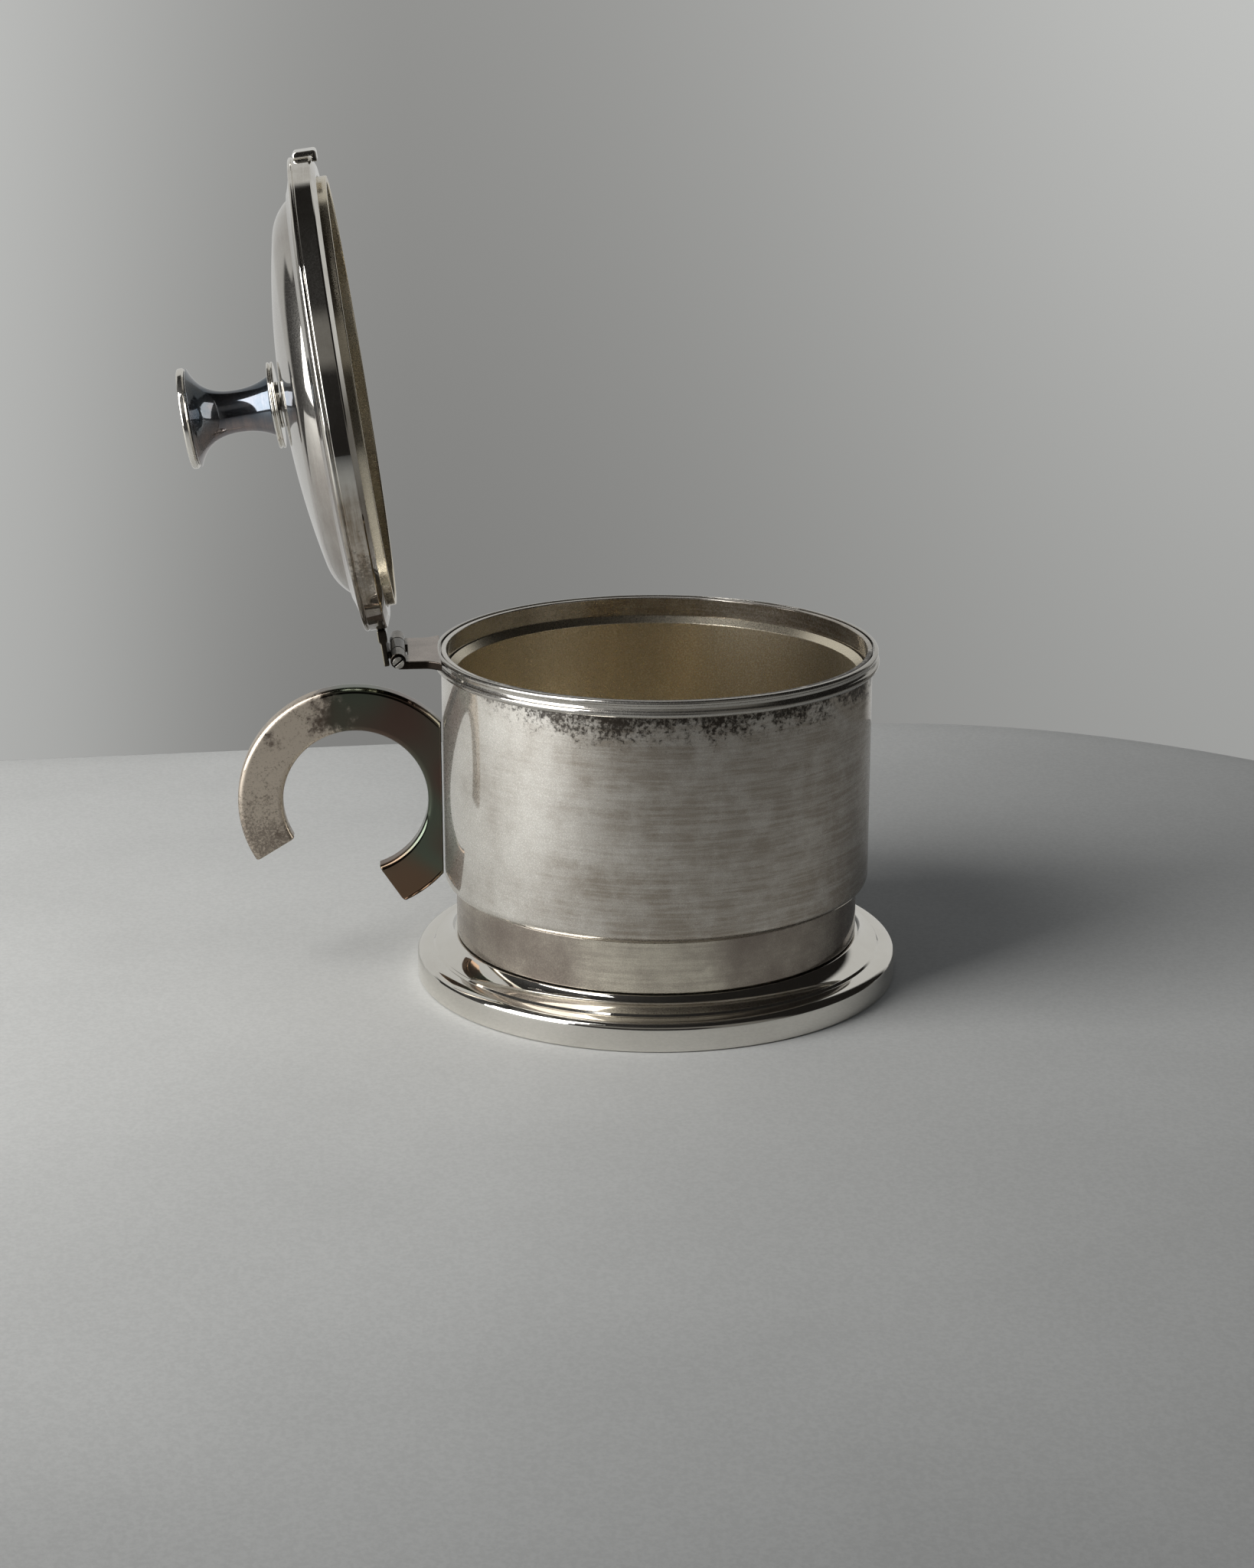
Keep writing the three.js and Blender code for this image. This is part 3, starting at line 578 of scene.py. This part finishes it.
class SILVERBOX_OT_foot(bpy.types.Operator):
    """Makes the spread, moulded foot and the disc that closes it"""

    bl_idname = "silverbox.foot"
    bl_label = "Foot"

    def execute(self, context):
        outside, top = FOOT_HIGH[1:]
        inside = BASE_HIGH[1] + SEAM
        wall, edge = sizes().wall / MM, sizes().edge / MM
        cove = COLLAR_HIGH[1] + 0.5  # radius of the cove where it is narrowest, under the collar
        step = cove + 4.5  # radius of the small step where the cove starts
        brim, shoulder, rise, hollow = 4.6, 6.6, 7.1, 7.725  # heights, from the upright brim upwards
        outline = np.concatenate(
            [
                [(outside - wall, 0), (outside, 0)],
                bend((outside, brim), (outside, shoulder), (step + 0.5, shoulder)),
                bend((step, rise), (cove + 1.5, hollow), (cove, top)),
                [(inside, top), (inside, top - wall)],
                [(cove - 0.6, top - wall), (step - 0.6, rise - wall), (outside - wall, brim - 0.6)],
            ]
        )
        foot = made("foot_ring", turned(softened(outline, edge)))
        buffed = plate("Silver plate, buffed bright", clean=0.04, haze=0.03, film=0.2, deep=0.1)
        dressed(foot, buffed, "polished_plate", "box", "foot")
        disc = oblong(0, BASE_HIGH[1], BASE_LOW[2], BASE_HIGH[2])
        base = made("base_disc", turned(softened(disc, edge, poles=True)))
        dull = plate("Silver plate, dull underside", clean=0.3, haze=0.8, film=0.8, deep=0.5)
        dressed(base, dull, "worn_plate", "box", "base_plate")
        return {"FINISHED"}


class SILVERBOX_OT_body(bpy.types.Operator):
    """Makes the drum, with the turned-in flat at its lower edge, and the collar under it"""

    bl_idname = "silverbox.body"
    bl_label = "Drum and collar"

    def execute(self, context):
        radius, top = DRUM_HIGH[1:]
        bottom = DRUM_LOW[2]
        wall = sizes().wall / MM
        turn, flat = 2.2, 2.7  # the lower edge's round and the flat that it turns in to
        face = np.concatenate(
            [
                [(radius - turn - flat, bottom)],
                arc((radius - turn, bottom + turn), turn, -90, 0),
                [(radius, top)],
            ]
        )
        drum = made("drum_wall", turned(softened(sheet(face, wall), sizes().edge / MM)))
        # Painted shade on top of the tarnish: the brown film thickens towards the right, away from the
        # window, and dark grains crowd under the rim in front, partly tarnish and partly the rim's shade
        rim = RIM_LOW[2]
        crowded = [("Z", rim - 16, rim + 5), ("Y", 10, -20), ("X", -60, -25)]
        places = {"worn": [("X", -40, 8)], "dark": crowded}
        worn = plate("Silver plate, worn drum", clean=0.06, haze=0.34, film=0.78, deep=0.92, **places)
        dressed(drum, worn, "worn_plate", "box", "drum")
        radius = COLLAR_HIGH[1]
        ring = oblong(radius - wall, radius, COLLAR_LOW[2], COLLAR_HIGH[2])
        collar = made("collar_ring", turned(softened(ring, 0.2)))
        # The collar is browner than the drum, with a pale bloom in front in place of the brown film
        bloom = [("X", -25, -13), ("X", 16, 2)]
        tints = {"silver": linear("#8f857c"), "film": 0.9, "coat": linear("#e3dccc"), "worn": bloom}
        brown = plate("Silver plate, worn collar", clean=0.1, haze=0.4, deep=0.5, **tints)
        dressed(collar, brown, "worn_plate", "box", "collar")
        return {"FINISHED"}


class SILVERBOX_OT_bowl(bpy.types.Operator):
    """Makes the inner bowl, whose chamfered lip shows as a ledge below the mouth"""

    bl_idname = "silverbox.bowl"
    bl_label = "Inner bowl"

    def execute(self, context):
        lip, top = BOWL_HIGH[1:]
        bottom = BOWL_LOW[2]
        wall, turn, overhang = 1, 2, 0.6  # turn is the round between wall and floor
        outside = lip - overhang
        inside = outside - wall
        chamfer = top - 1.7  # height at which the lip starts, inside and out
        outline = np.concatenate(
            [
                [(0, bottom)],
                arc((outside - turn, bottom + turn), turn, -90, 0),
                [(outside, chamfer), (lip, (chamfer + top) / 2), (lip, top), (inside, chamfer)],
                arc((inside - turn + wall, bottom + turn), turn - wall, 0, -90),
                [(0, bottom + wall)],
            ]
        )
        bowl = made("bowl_liner", turned(softened(outline, 0.2, poles=True)))
        tint = colours().inside
        warm = plate("Silver plate, warm inside", clean=0.24, haze=0.3, film=0.1, deep=0.1, silver=tint)
        dressed(bowl, warm, "inside_plate", "box", "inner_bowl")
        return {"FINISHED"}


class SILVERBOX_OT_rim(bpy.types.Operator):
    """Makes the two reeds round the mouth"""

    bl_idname = "silverbox.rim"
    bl_label = "Rim moulding"

    def execute(self, context):
        inside = DRUM_HIGH[1] + SEAM
        outside, top = RIM_HIGH[1:]
        bottom = RIM_LOW[2]
        lower_reed, upper_reed = sizes().reed / MM, 0.6
        groove = outside - 0.65
        gap, set_back = 0.3, 0.25  # the groove's middle above the lower reed, and the upper one's place
        outline = np.concatenate(
            [
                [(inside, bottom)],
                arc((outside - lower_reed, bottom + lower_reed), lower_reed, -90, 60),
                [(groove, bottom + 2 * lower_reed + gap)],
                arc((outside - set_back - upper_reed, top - upper_reed), upper_reed, -60, 90),
                [(inside, top)],
            ]
        )
        rim = made("rim_reeds", turned(softened(outline, 0.15)))
        tint = colours().dulled
        rubbed = plate("Silver plate, rubbed rim", clean=0.07, haze=0.22, film=0.5, deep=0.5, silver=tint)
        dressed(rim, rubbed, "worn_plate", "box", "rim_moulding")
        return {"FINISHED"}


class SILVERBOX_OT_handle(bpy.types.Operator):
    """Makes the flat open ring of the handle, its back fitted to the drum's face"""

    bl_idname = "silverbox.handle"
    bl_label = "Ring handle"

    def execute(self, context):
        hole = sizes().hole / MM
        away = 19.8  # from the ring's centre to the drum
        height = DRUM_LOW[2] + 20  # of the ring's centre
        outer = HANDLE_HIGH[2] - height
        half = (HANDLE_HIGH[1] - HANDLE_LOW[1]) / 2
        middle = (outer + hole) / 2
        width = (outer - hole) / 2
        seat = away - SEAM
        # Places run along the middle of the ring, from the stub's end round to the arm's end, and a
        # point at the angle a = place / middle radius lies at (r cos a, v, r sin a) from the centre
        stub, arm = np.radians([-69.4, 211]) * middle
        meet = math.acos(seat / outer) * middle  # where the outer edge meets the drum
        places = np.sort(np.append(np.linspace(stub, arm, 220), [-meet, meet]))
        u, v, run = rounded_bar(width, half, sizes().handle_edge / MM, places, end=0.4)
        # The stub's end leans by 3.1 degrees, which fades out over 8 mm
        lean = math.radians(3.1) * u / width * np.clip(1 - (run - stub) / 8, 0, 1)
        angle = run / middle + lean
        # The outer edge runs round the ring, or upright along the drum with a tighter rounding
        rim = np.minimum(outer, seat / np.maximum(np.cos(angle), 0.1))
        tight = 1 - 0.65 * np.clip((outer - rim) / 0.5, 0, 1)
        radius = np.where(u < 0, hole + width + u, rim - tight * (width - u))
        x = DRUM_LOW[0] - away + radius * np.cos(angle)
        z = height + radius * np.sin(angle)
        handle = made("ring_handle", lofted(np.stack([x, v, z], -1)))
        dark = tarnished_plate("Silver plate, tarnished handle")
        dressed(handle, dark, "tarnished_plate", "box", "handle")
        return {"FINISHED"}


def barrel(start, end):
    """One barrel of the hinge, a ring round the pin between two places along Y."""
    ring = softened(oblong(BORE, BARREL, start, end), 0.18)
    return turned(ring, centre=(PIN[0], 0, PIN[2]), along="y")


class SILVERBOX_OT_hinge(bpy.types.Operator):
    """Makes the box's leaf with its two barrels, the screw, and the lid's strap with its barrel"""

    bl_idname = "silverbox.hinge"
    bl_label = "Hinge"

    def execute(self, context):
        x, z = PIN[0], PIN[2]
        side = HINGE_WIDTH / 2
        inner = MIDDLE_BARREL / 2
        outer = inner + SEAM  # where the leaf's own barrels start

        # The leaf starts behind the middle barrel, widens towards the rim of radius R and ends along
        # it, where x = AXIS - sqrt(R^2 - y^2). So does the strap at the lid's band
        def flared(share):
            return side + 2.5 * np.clip((share - 0.55) / 0.45, 0, 1) ** 2.2

        low, top = z - 1.9, z - 0.1
        start = x + BARREL + 0.35
        u, v, share = rounded_bar(flared, (top - low) / 2, 0.3, np.linspace(0, 1, 24), reach=0.06)
        rim = AXIS - np.sqrt((RIM_HIGH[1] + SEAM) ** 2 - u**2)
        leaf = lofted(np.stack([start + share * (rim - start), u, v + (low + top) / 2], -1))
        shells = [leaf]
        for ends in ((-side, -outer), (outer, side)):
            shells += [block((x, start + 0.4), ends, (low, top), 0.25), barrel(*ends)]
        box_half = made("hinge_leaf", *shells)
        # Old grease has turned the barrels green
        pin = x - AXIS
        grease = [("X", pin + 2.6, pin + 1.6)]
        tints = {"silver": linear("#b3a79e"), "film": 1.0, "coat": linear("#3f3d32"), "worn": grease}
        # Painted shade darkens the leaf's faces that turn away from above
        dark = plate("Silver plate, greasy_and_shaded hinge", clean=0.16, haze=0.4, deep=0.5, side_shade=1.0, **tints)
        dressed(box_half, dark, "worn_plate", "box", "hinge_plate")

        # The strap runs over the barrels to the lid's band, where its root is thicker
        def thick(share):
            return 0.6 + 0.4 * np.clip((share - 0.62) / 0.08, 0, 1)

        web = 0.8  # half the thickness of the web that joins the strap to its barrel
        start = x - web
        above = z + BARREL + SEAM + 0.6
        u, v, share = rounded_bar(side, thick, 0.3, np.linspace(0, 1, 30), reach=0.05)
        band = AXIS - np.sqrt((BAND_HIGH[1] + SEAM) ** 2 - u**2)
        strap = lofted(np.stack([start + share * (band - start), u, v + above], -1))
        joint = block((start, x + web), (-inner, inner), (z + 1.25, z + 2.8), 0.1)
        lid_half = made("lid_strap", strap, joint, barrel(-inner, inner), lid=True)
        # Painted shade darkens the strap's faces, apart from those that face left, its outer ones on the
        # open lid
        tints = {"silver": linear("#aaa491"), "film": 1.0, "side_shade": 0.95}
        dark = plate("Silver plate, tarnished strap", clean=0.12, haze=0.4, deep=0.9, lid=True, **tints)
        dressed(lid_half, dark, "tarnished_plate", "lid", "lid_hinge_strap")

        # The screw's head is a disc with two half-rounds, which leave its slot between them. Each
        # reaches from the slot out to sqrt(head^2 - along^2), and both are turned by the slot's tilt
        front, back = SCREW_LOW[1], SCREW_HIGH[1]
        head, shank, slot = 1.25, 0.9, 0.2  # radii, and half the slot's width
        floor, neck = front + 0.6, front + 1.4
        outline = [(0, floor), (head, floor), (head, neck), (shank, neck), (shank, back), (0, back)]
        shells = [turned(softened(outline, 0.1, poles=True), centre=(x, 0, z), along="y")]
        tilt = math.radians(40)
        for way in (-1, 1):
            u, v, along = rounded_bar(1.0, 0.35, 0.1, np.linspace(-1.1, 1.1, 25))
            reach = np.sqrt(head**2 - along**2)
            off = way * (slot + (u + 1) / 2 * (reach - slot))
            p = x + along * math.cos(tilt) - off * math.sin(tilt)
            q = z + along * math.sin(tilt) + off * math.cos(tilt)
            shells.append(lofted(np.stack([p, v + front + 0.35, q], -1)))
        screw = made("pin_screw", *shells)
        steel = turned_steel("Steel, turned screw", front + 0.25)
        dressed(screw, steel, "screw_steel", "box", "hinge_screw")
        return {"FINISHED"}


class SILVERBOX_OT_lid(bpy.types.Operator):
    """Makes the lid's beaded edge band, spun dome and thumb lip, and the bezel that enters the mouth"""

    bl_idname = "silverbox.lid"
    bl_label = "Lid"

    def execute(self, context):
        radius = BAND_HIGH[1]
        inside = BEZEL_HIGH[1] + SEAM
        border = DOME_HIGH[1]
        # Heights from the lid's lower edge, which a lip round the bezel reaches below
        lip, upright, groove, ledge = -0.8, 3.65, 3.9, 5.0
        bead = 0.47
        outline = np.concatenate(
            [
                [(inside, lip), (inside + 2.1, lip), (radius - 0.3, 0), (radius, 0.3)],
                [(radius, upright), (radius - 0.25, groove)],
                arc((radius - bead, groove + bead), bead, -60, 115),
                [(border + SEAM, ledge), (border + SEAM, BAND_SEAT), (inside, BAND_SEAT)],
            ]
        )
        edge = made("lid_band", turned(softened(outline, 0.22) + (0, LID_EDGE)), lid=True)
        # Film and dark grains grow towards the hinge, the band's lower end when the lid is open, so the band
        # darkens towards it
        lower = {"worn": [("X", -6, -20)], "dark": [("X", -8, -40)]}
        worn = plate("Silver plate, lid band", clean=0.04, haze=0.03, film=0.95, deep=0.5, lid=True, **lower)
        dressed(edge, worn, "worn_plate", "lid", "lid_edge_band")

        # The dome: a gently rising border, a round shoulder and a shallow crown, itself part of a ball
        foot = np.array((radius - 8.5, 6.3))
        flat = foot[0] + 1.3
        crown_edge = foot[0] - 6.6
        top = 14.6
        crown = 167.0
        tilt = math.asin(crown_edge / crown)
        meet = np.array((crown_edge, top - crown + crown * math.cos(tilt)))
        outward = np.array((math.sin(tilt), math.cos(tilt)))
        chord = foot - meet
        shoulder = (chord @ chord) / (-2 * (chord @ outward))
        centre = meet - shoulder * outward
        start = math.degrees(math.atan2(foot[1] - centre[1], foot[0] - centre[0]))
        turn = 90 - math.degrees(tilt)
        hole = 90 - math.degrees(math.asin((STUD_HIGH[1] + SEAM) / crown))
        face = np.concatenate(
            [
                bend((border, ledge), ((border + flat) / 2, ledge + 0.325), (flat, foot[1]), 20),
                arc(centre, shoulder, start, turn, 24),
                arc((0, top - crown), crown, turn, hole, 24)[1:],
            ]
        )
        dome = made("lid_cover", turned(softened(sheet(face, 1.1), 0.25) + (0, LID_EDGE)), lid=True)
        # A rosy film lies round the dome's foot on the hinge side, the low side of the open lid: painted
        # shade in that corner
        corner = [("R", foot[0] - 8, foot[0] - 1), ("X", 2, -14)]
        tints = {"silver": colours().dulled, "film": 0.45, "coat": linear("#6e5b54"), "worn": corner}
        bright = plate("Silver plate, spun dome", clean=0.06, haze=0.1, deep=0.3, lid=True, **tints)
        dressed(dome, bright, "worn_plate", "lid", "lid_dome")

        ring = oblong(BEZEL_HIGH[1] - 1.2, BEZEL_HIGH[1], BEZEL_LOW[2], BEZEL_HIGH[2])
        bezel = made("lid_flange", turned(softened(ring, 0.25)), lid=True)
        tints = {"silver": colours().inside, "film": 0.5}
        warm = plate("Silver plate, warm bezel", clean=0.14, haze=0.3, deep=0.4, lid=True, **tints)
        dressed(bezel, warm, "inside_plate", "lid", "lid_bezel")

        # The thumb lip's section, an L, is swept along Y. At a quarter turn t from an end it is smaller
        # by 0.16 (1 - cos t) of its size, and each end closes on the section's middle
        inside, low = THUMB_LOW[0], THUMB_LOW[2]
        outside, half, top = THUMB_HIGH
        seat = AXIS + radius + SEAM
        under = LID_EDGE - SEAM
        turn, end, point = 0.7, 0.35, 0.01  # rounds of the section and of the ends, and size of a closed end
        outline = np.concatenate(
            [
                [(seat, top), (seat, under), (inside, under), (inside, low)],
                arc((outside - turn, low + turn), turn, -90, 0),
                arc((outside - turn, top - turn), turn, 0, 90),
            ]
        )
        t = np.linspace(0, math.pi / 2, 6)
        last = half - end + end * np.sin(t)
        run = np.concatenate([[-half], -last[::-1], np.linspace(-3.5, 3.5, 13), last, [half]])[:, None]
        size = 1 - 0.16 * (1 - np.cos(t))
        size = np.concatenate([[point], size[::-1], np.ones(13), size, [point]])[:, None]
        middle = np.array(((seat + outside) / 2, (low + under) / 2))
        u, v = (softened(outline, 0.2) - middle).T
        # Its seat follows the band, which falls back on both sides, and its outer face stays straight
        x = middle[0] + u * size
        back = np.sqrt((radius + SEAM) ** 2 - run**2) - radius - SEAM
        x = x + back * np.clip((outside - x) / (outside - seat), 0, 1)
        thumb = made("lid_lifter", lofted(np.stack([x, run + 0 * x, middle[1] + v * size], -1)), lid=True)
        dressed(thumb, worn, "worn_plate", "lid", "lid_thumb_lip")
        return {"FINISHED"}


class SILVERBOX_OT_knob(bpy.types.Operator):
    """Makes the knob's foot, waisted stem and cap, and the stud, washer and nut that hold it"""

    bl_idname = "silverbox.knob"
    bl_label = "Knob"

    def execute(self, context):
        hole = STUD_HIGH[1] + SEAM
        low, top = KNOB_LOW[2], KNOB_HIGH[2]
        flange = KNOB_HIGH[1]
        seat, lift = 5, low + 0.6  # the disc that it stands on, and the height of the flange above it
        outline = [(hole, low), (seat, low), (seat, lift), (flange, lift), (flange, lift + 0.45)]
        outline += [(flange - 0.6, lift + 0.65), (flange, top - 0.45), (flange, top), (hole, top)]
        foot = made("knob_foot", turned(softened(outline, 0.18)), lid=True)
        bright = plate("Silver plate, handled knob", clean=0.06, haze=0.08, film=0.4, deep=0.3, lid=True)
        dressed(foot, bright, "polished_plate", "lid", "knob_base")

        low, top = STEM_LOW[2], STEM_HIGH[2]
        waist, neck = low + 7.6, 4.6  # height and radius of the narrowest place
        mouth = STEM_HIGH[1]
        depth = low + 6.5  # of the hole for the stud
        rise = top - waist
        spread = neck + 0.42 * (mouth - neck)
        lower = (6.5, low), (5.55, low + 1.9), (neck, low + 3.8), (neck, waist)
        upper = (neck, waist), (neck, waist + 0.62 * rise), (spread, waist + 0.86 * rise), (mouth, top)
        outline = np.concatenate(
            [[(0, depth), (hole, depth), (hole, low)], curve(*lower), curve(*upper)[1:], [(0, top)]]
        )
        stem = made("knob_stalk", turned(softened(outline, 0.15, poles=True)), lid=True)
        # Tarnish has turned one side of the stem blue and the other, nearer the hinge, rosy brown
        tints = {"silver": linear("#515d67"), "film": 0.9, "coat": linear("#8f8482"), "worn": [("X", 0, -5)]}
        dark = plate("Silver plate, tarnished stem", clean=0.07, haze=0.1, deep=0.3, lid=True, **tints)
        dressed(stem, dark, "polished_plate", "lid", "knob_stem")

        low, top = CAP_LOW[2], CAP_HIGH[2]
        radius = CAP_HIGH[1]
        turn = 0.5
        outline = np.concatenate(
            [
                [(0, low), (radius - turn, low), (radius, low + turn)],
                arc((radius - turn, top - turn), turn, 0, 90, 8),
                [(0, top)],
            ]
        )
        cap = made("knob_top", turned(softened(outline, 0.2, poles=True)), lid=True)
        dressed(cap, bright, "polished_plate", "lid", "knob_cap")

        steel = turned_steel("Steel, turned stud and nut")
        rod = oblong(0, STUD_HIGH[1], STUD_LOW[2], STUD_HIGH[2])
        stud = made("knob_bolt", turned(softened(rod, 0.2, poles=True)), lid=True)
        dressed(stud, steel, "screw_steel", "lid", "knob_stud")
        ring = oblong(hole, WASHER_HIGH[1], WASHER_LOW[2], WASHER_HIGH[2])
        washer = made("bolt_washer", turned(softened(ring, 0.15)), lid=True)
        dressed(washer, steel, "screw_steel", "lid", "knob_washer")
        flat = 2.75  # half the nut's width across its flats
        ring = oblong(hole, flat, NUT_LOW[2], NUT_HIGH[2])
        nut = made("bolt_nut", turned(softened(ring, 0.15), flats=6), lid=True)
        dressed(nut, steel, "screw_steel", "lid", "knob_nut")
        return {"FINISHED"}


def lamp(name, stand, heading, tilt, size, energy, colour):
    """A soft oblong lamp that shines along a heading, in degrees from +X towards +Y, and tilts down.
    The camera doesn't see it."""
    light = bpy.data.lights.new(name, "AREA")
    light.shape = "RECTANGLE"
    light.size, light.size_y = size
    light.energy = energy
    light.color = linear(colour)[:3]
    soft = bpy.data.objects.new(name, light)
    bpy.context.scene.collection.objects.link(soft)
    soft.location = stand
    soft.rotation_euler = (math.radians(90 - tilt), 0, math.radians(heading - 90))
    soft.visible_camera = False


def table_top():
    """The table: y runs from its front to a far edge at far + slope x, less drawn (1 - sqrt(1 - s^2)),
    which bends it towards the camera at the right as s grows from 0 to 1. Then it runs over a quarter
    round of radius r, as r sin t outwards and r (1 - cos t) down, and down."""
    left, right, front = -640, 453, -420.0
    far, slope, drawn = 194, 0.07, 2200
    thick, turn, clearance = 40.0, 3, 0.15  # the foot stands clear of the table
    x = np.linspace(left, right, 240)
    s = np.clip((x - 100) / 500, 0, 1)
    edge = far + slope * x - drawn * (1 - np.sqrt(1 - s**2))
    share = np.linspace(0, 1, 60)[:, None]
    t = np.linspace(0, math.pi / 2, 8)[1:, None]
    y = np.concatenate([front + share * (edge - front), edge + turn * np.sin(t), edge[None] + turn])
    y = np.concatenate([np.full((1, len(x)), front), y])
    z = np.concatenate([[[-thick]], 0 * share, -turn * (1 - np.cos(t)), [[-thick]]]) - clearance
    points = np.stack(np.broadcast_arrays(x, y, z), -1)
    rows, columns = points.shape[:2]
    i = np.arange(rows - 1)[:, None] * columns
    j = np.arange(columns - 1)
    faces = np.stack([i + j, i + j + 1, i + columns + j + 1, i + columns + j], -1).reshape(-1, 4)
    mesh = bpy.data.meshes.new("table_top")
    mesh.from_pydata((points.reshape(-1, 3) * MM).tolist(), [], faces.tolist())
    mesh.polygons.foreach_set("use_smooth", np.ones(len(mesh.polygons), bool))
    table = bpy.data.objects.new("table_top", mesh)
    bpy.context.scene.collection.objects.link(table)
    mesh.materials.append(painted_board("Painted board"))


def room():
    """The world: a pale wall for the camera, a dim even light for matt surfaces, and for bright
    metal a room that is pale behind the table, up to 50 degrees, and dark elsewhere."""
    world = bpy.data.worlds.new("room")
    bpy.context.scene.world = world
    world.use_nodes = True
    tree = world.node_tree
    tree.nodes.clear()
    way = add(tree, "TexCoord").outputs["Generated"]
    x, y, z = add(tree, "SeparateXYZ", {0: way}).outputs
    # The pale part of the room is wider at the left, above the table
    wider = portion(tree, (x, 0.0, -0.8, 0.0, 0.28), (z, 0.25, 0.4))
    back = portion(tree, y, wider, operation="ADD")
    pale = portion(tree, (back, 0.58, 0.7), (z, 0.82, 0.72))
    # The dark part is a little lighter high up behind the camera and at its right, and low at the right
    high = portion(tree, (z, 0.3, 0.45), (x, 0.2, 0.45), operation="MAXIMUM")
    high = portion(tree, high, (z, 0.8, 0.65), (y, -0.4, -0.65))
    low = portion(tree, (z, 0.05, -0.05), (x, 0.4, 0.65))
    lighter = portion(tree, high, low, operation="MAXIMUM")
    # The wall is darkest a little left of the middle, and grows lighter upwards and to both sides:
    # painted light and shade of the window's falloff on the wall
    ahead = add(tree, "Math", {0: y}, operation="ABSOLUTE")
    across = add(tree, "Math", {0: x, 1: ahead}, operation="DIVIDE")
    side = portion(tree, (across, 0.02, -0.2), (across, 0.0, 0.36), operation="MAXIMUM")
    lower = portion(tree, (z, 0.1, -0.35, 0.0, 0.5), (across, -0.12, -0.02, 0.55, 1.0))
    tints = []
    for ground, layers in (
        ("#181614", ((pale, "#c6c6c4"), (lighter, "#6c6a66"))),
        ("#989896", ((side, "#cbccca"), (lower, "#4c4b49"))),
    ):
        tint = linear(ground)
        for cover, colour in layers:
            tint = add(tree, "Mix", {0: cover, 6: tint, 7: linear(colour)}, data_type="RGBA").outputs[2]
        tints.append(tint)
    rays = add(tree, "LightPath").outputs
    dim = add(tree, "Background", {"Color": linear("#8f9296"), "Strength": 0.45})
    seen = add(tree, "Background", {"Color": tints[0]})
    wall = add(tree, "Background", {"Color": tints[1]})
    unseen = add(tree, "MixShader", {0: rays["Is Glossy Ray"], 1: dim, 2: seen})
    every = add(tree, "MixShader", {0: rays["Is Camera Ray"], 1: unseen, 2: wall})
    add(tree, "OutputWorld", {"Surface": every})


class SILVERBOX_OT_stage(bpy.types.Operator):
    """Makes the table, the room's light and the camera"""

    bl_idname = "silverbox.stage"
    bl_label = "Table, light and camera"

    def execute(self, context):
        table_top()
        lamp(
            "window_left",
            stand=(-0.708, -0.188, 0.54),
            heading=68.8,
            tilt=-3,
            size=(0.87, 0.98),
            energy=17.2,
            colour="#ffffff",
        )
        room()
        camera = bpy.data.cameras.new("camera")
        camera.sensor_width = 36
        camera.lens = 67.95
        eye = bpy.data.objects.new("camera", camera)
        bpy.context.scene.collection.objects.link(eye)
        down, aside = 16.701, 4.91  # degrees below level and to the right of +Y
        eye.location = (-0.03727, -0.6425, 0.2372)
        eye.rotation_euler = (math.radians(90 - down), 0, math.radians(-aside))
        context.scene.camera = eye
        context.scene.view_settings.view_transform = "Standard"
        return {"FINISHED"}


class SILVERBOX_PT_panel(bpy.types.Panel):
    """Lists the box's sizes, colours and pieces"""

    bl_idname = "SILVERBOX_PT_panel"
    bl_label = "Silver Box"
    bl_space_type = "VIEW_3D"
    bl_region_type = "UI"
    bl_category = "Silver Box"

    def draw(self, context):
        for group in (sizes(), colours()):
            for name in group.__annotations__:
                self.layout.prop(group, name)
        for kind in OPERATORS:
            self.layout.operator(kind.bl_idname)


OPERATORS = (
    SILVERBOX_OT_foot,
    SILVERBOX_OT_body,
    SILVERBOX_OT_bowl,
    SILVERBOX_OT_rim,
    SILVERBOX_OT_handle,
    SILVERBOX_OT_hinge,
    SILVERBOX_OT_lid,
    SILVERBOX_OT_knob,
    SILVERBOX_OT_stage,
)
CLASSES = (BoxSizes, BoxColours, *OPERATORS, SILVERBOX_PT_panel)


def register():
    for kind in CLASSES:
        bpy.utils.register_class(kind)
    bpy.types.Scene.silver_box_sizes = PointerProperty(type=BoxSizes)
    bpy.types.Scene.silver_box_colours = PointerProperty(type=BoxColours)


def unregister():
    del bpy.types.Scene.silver_box_colours
    del bpy.types.Scene.silver_box_sizes
    for kind in reversed(CLASSES):
        bpy.utils.unregister_class(kind)


def main():
    register()
    bpy.ops.silverbox.foot()
    bpy.ops.silverbox.body()
    bpy.ops.silverbox.bowl()
    bpy.ops.silverbox.rim()
    bpy.ops.silverbox.handle()
    bpy.ops.silverbox.hinge()
    bpy.ops.silverbox.lid()
    bpy.ops.silverbox.knob()
    bpy.ops.silverbox.stage()


if __name__ == "__main__":
    main()
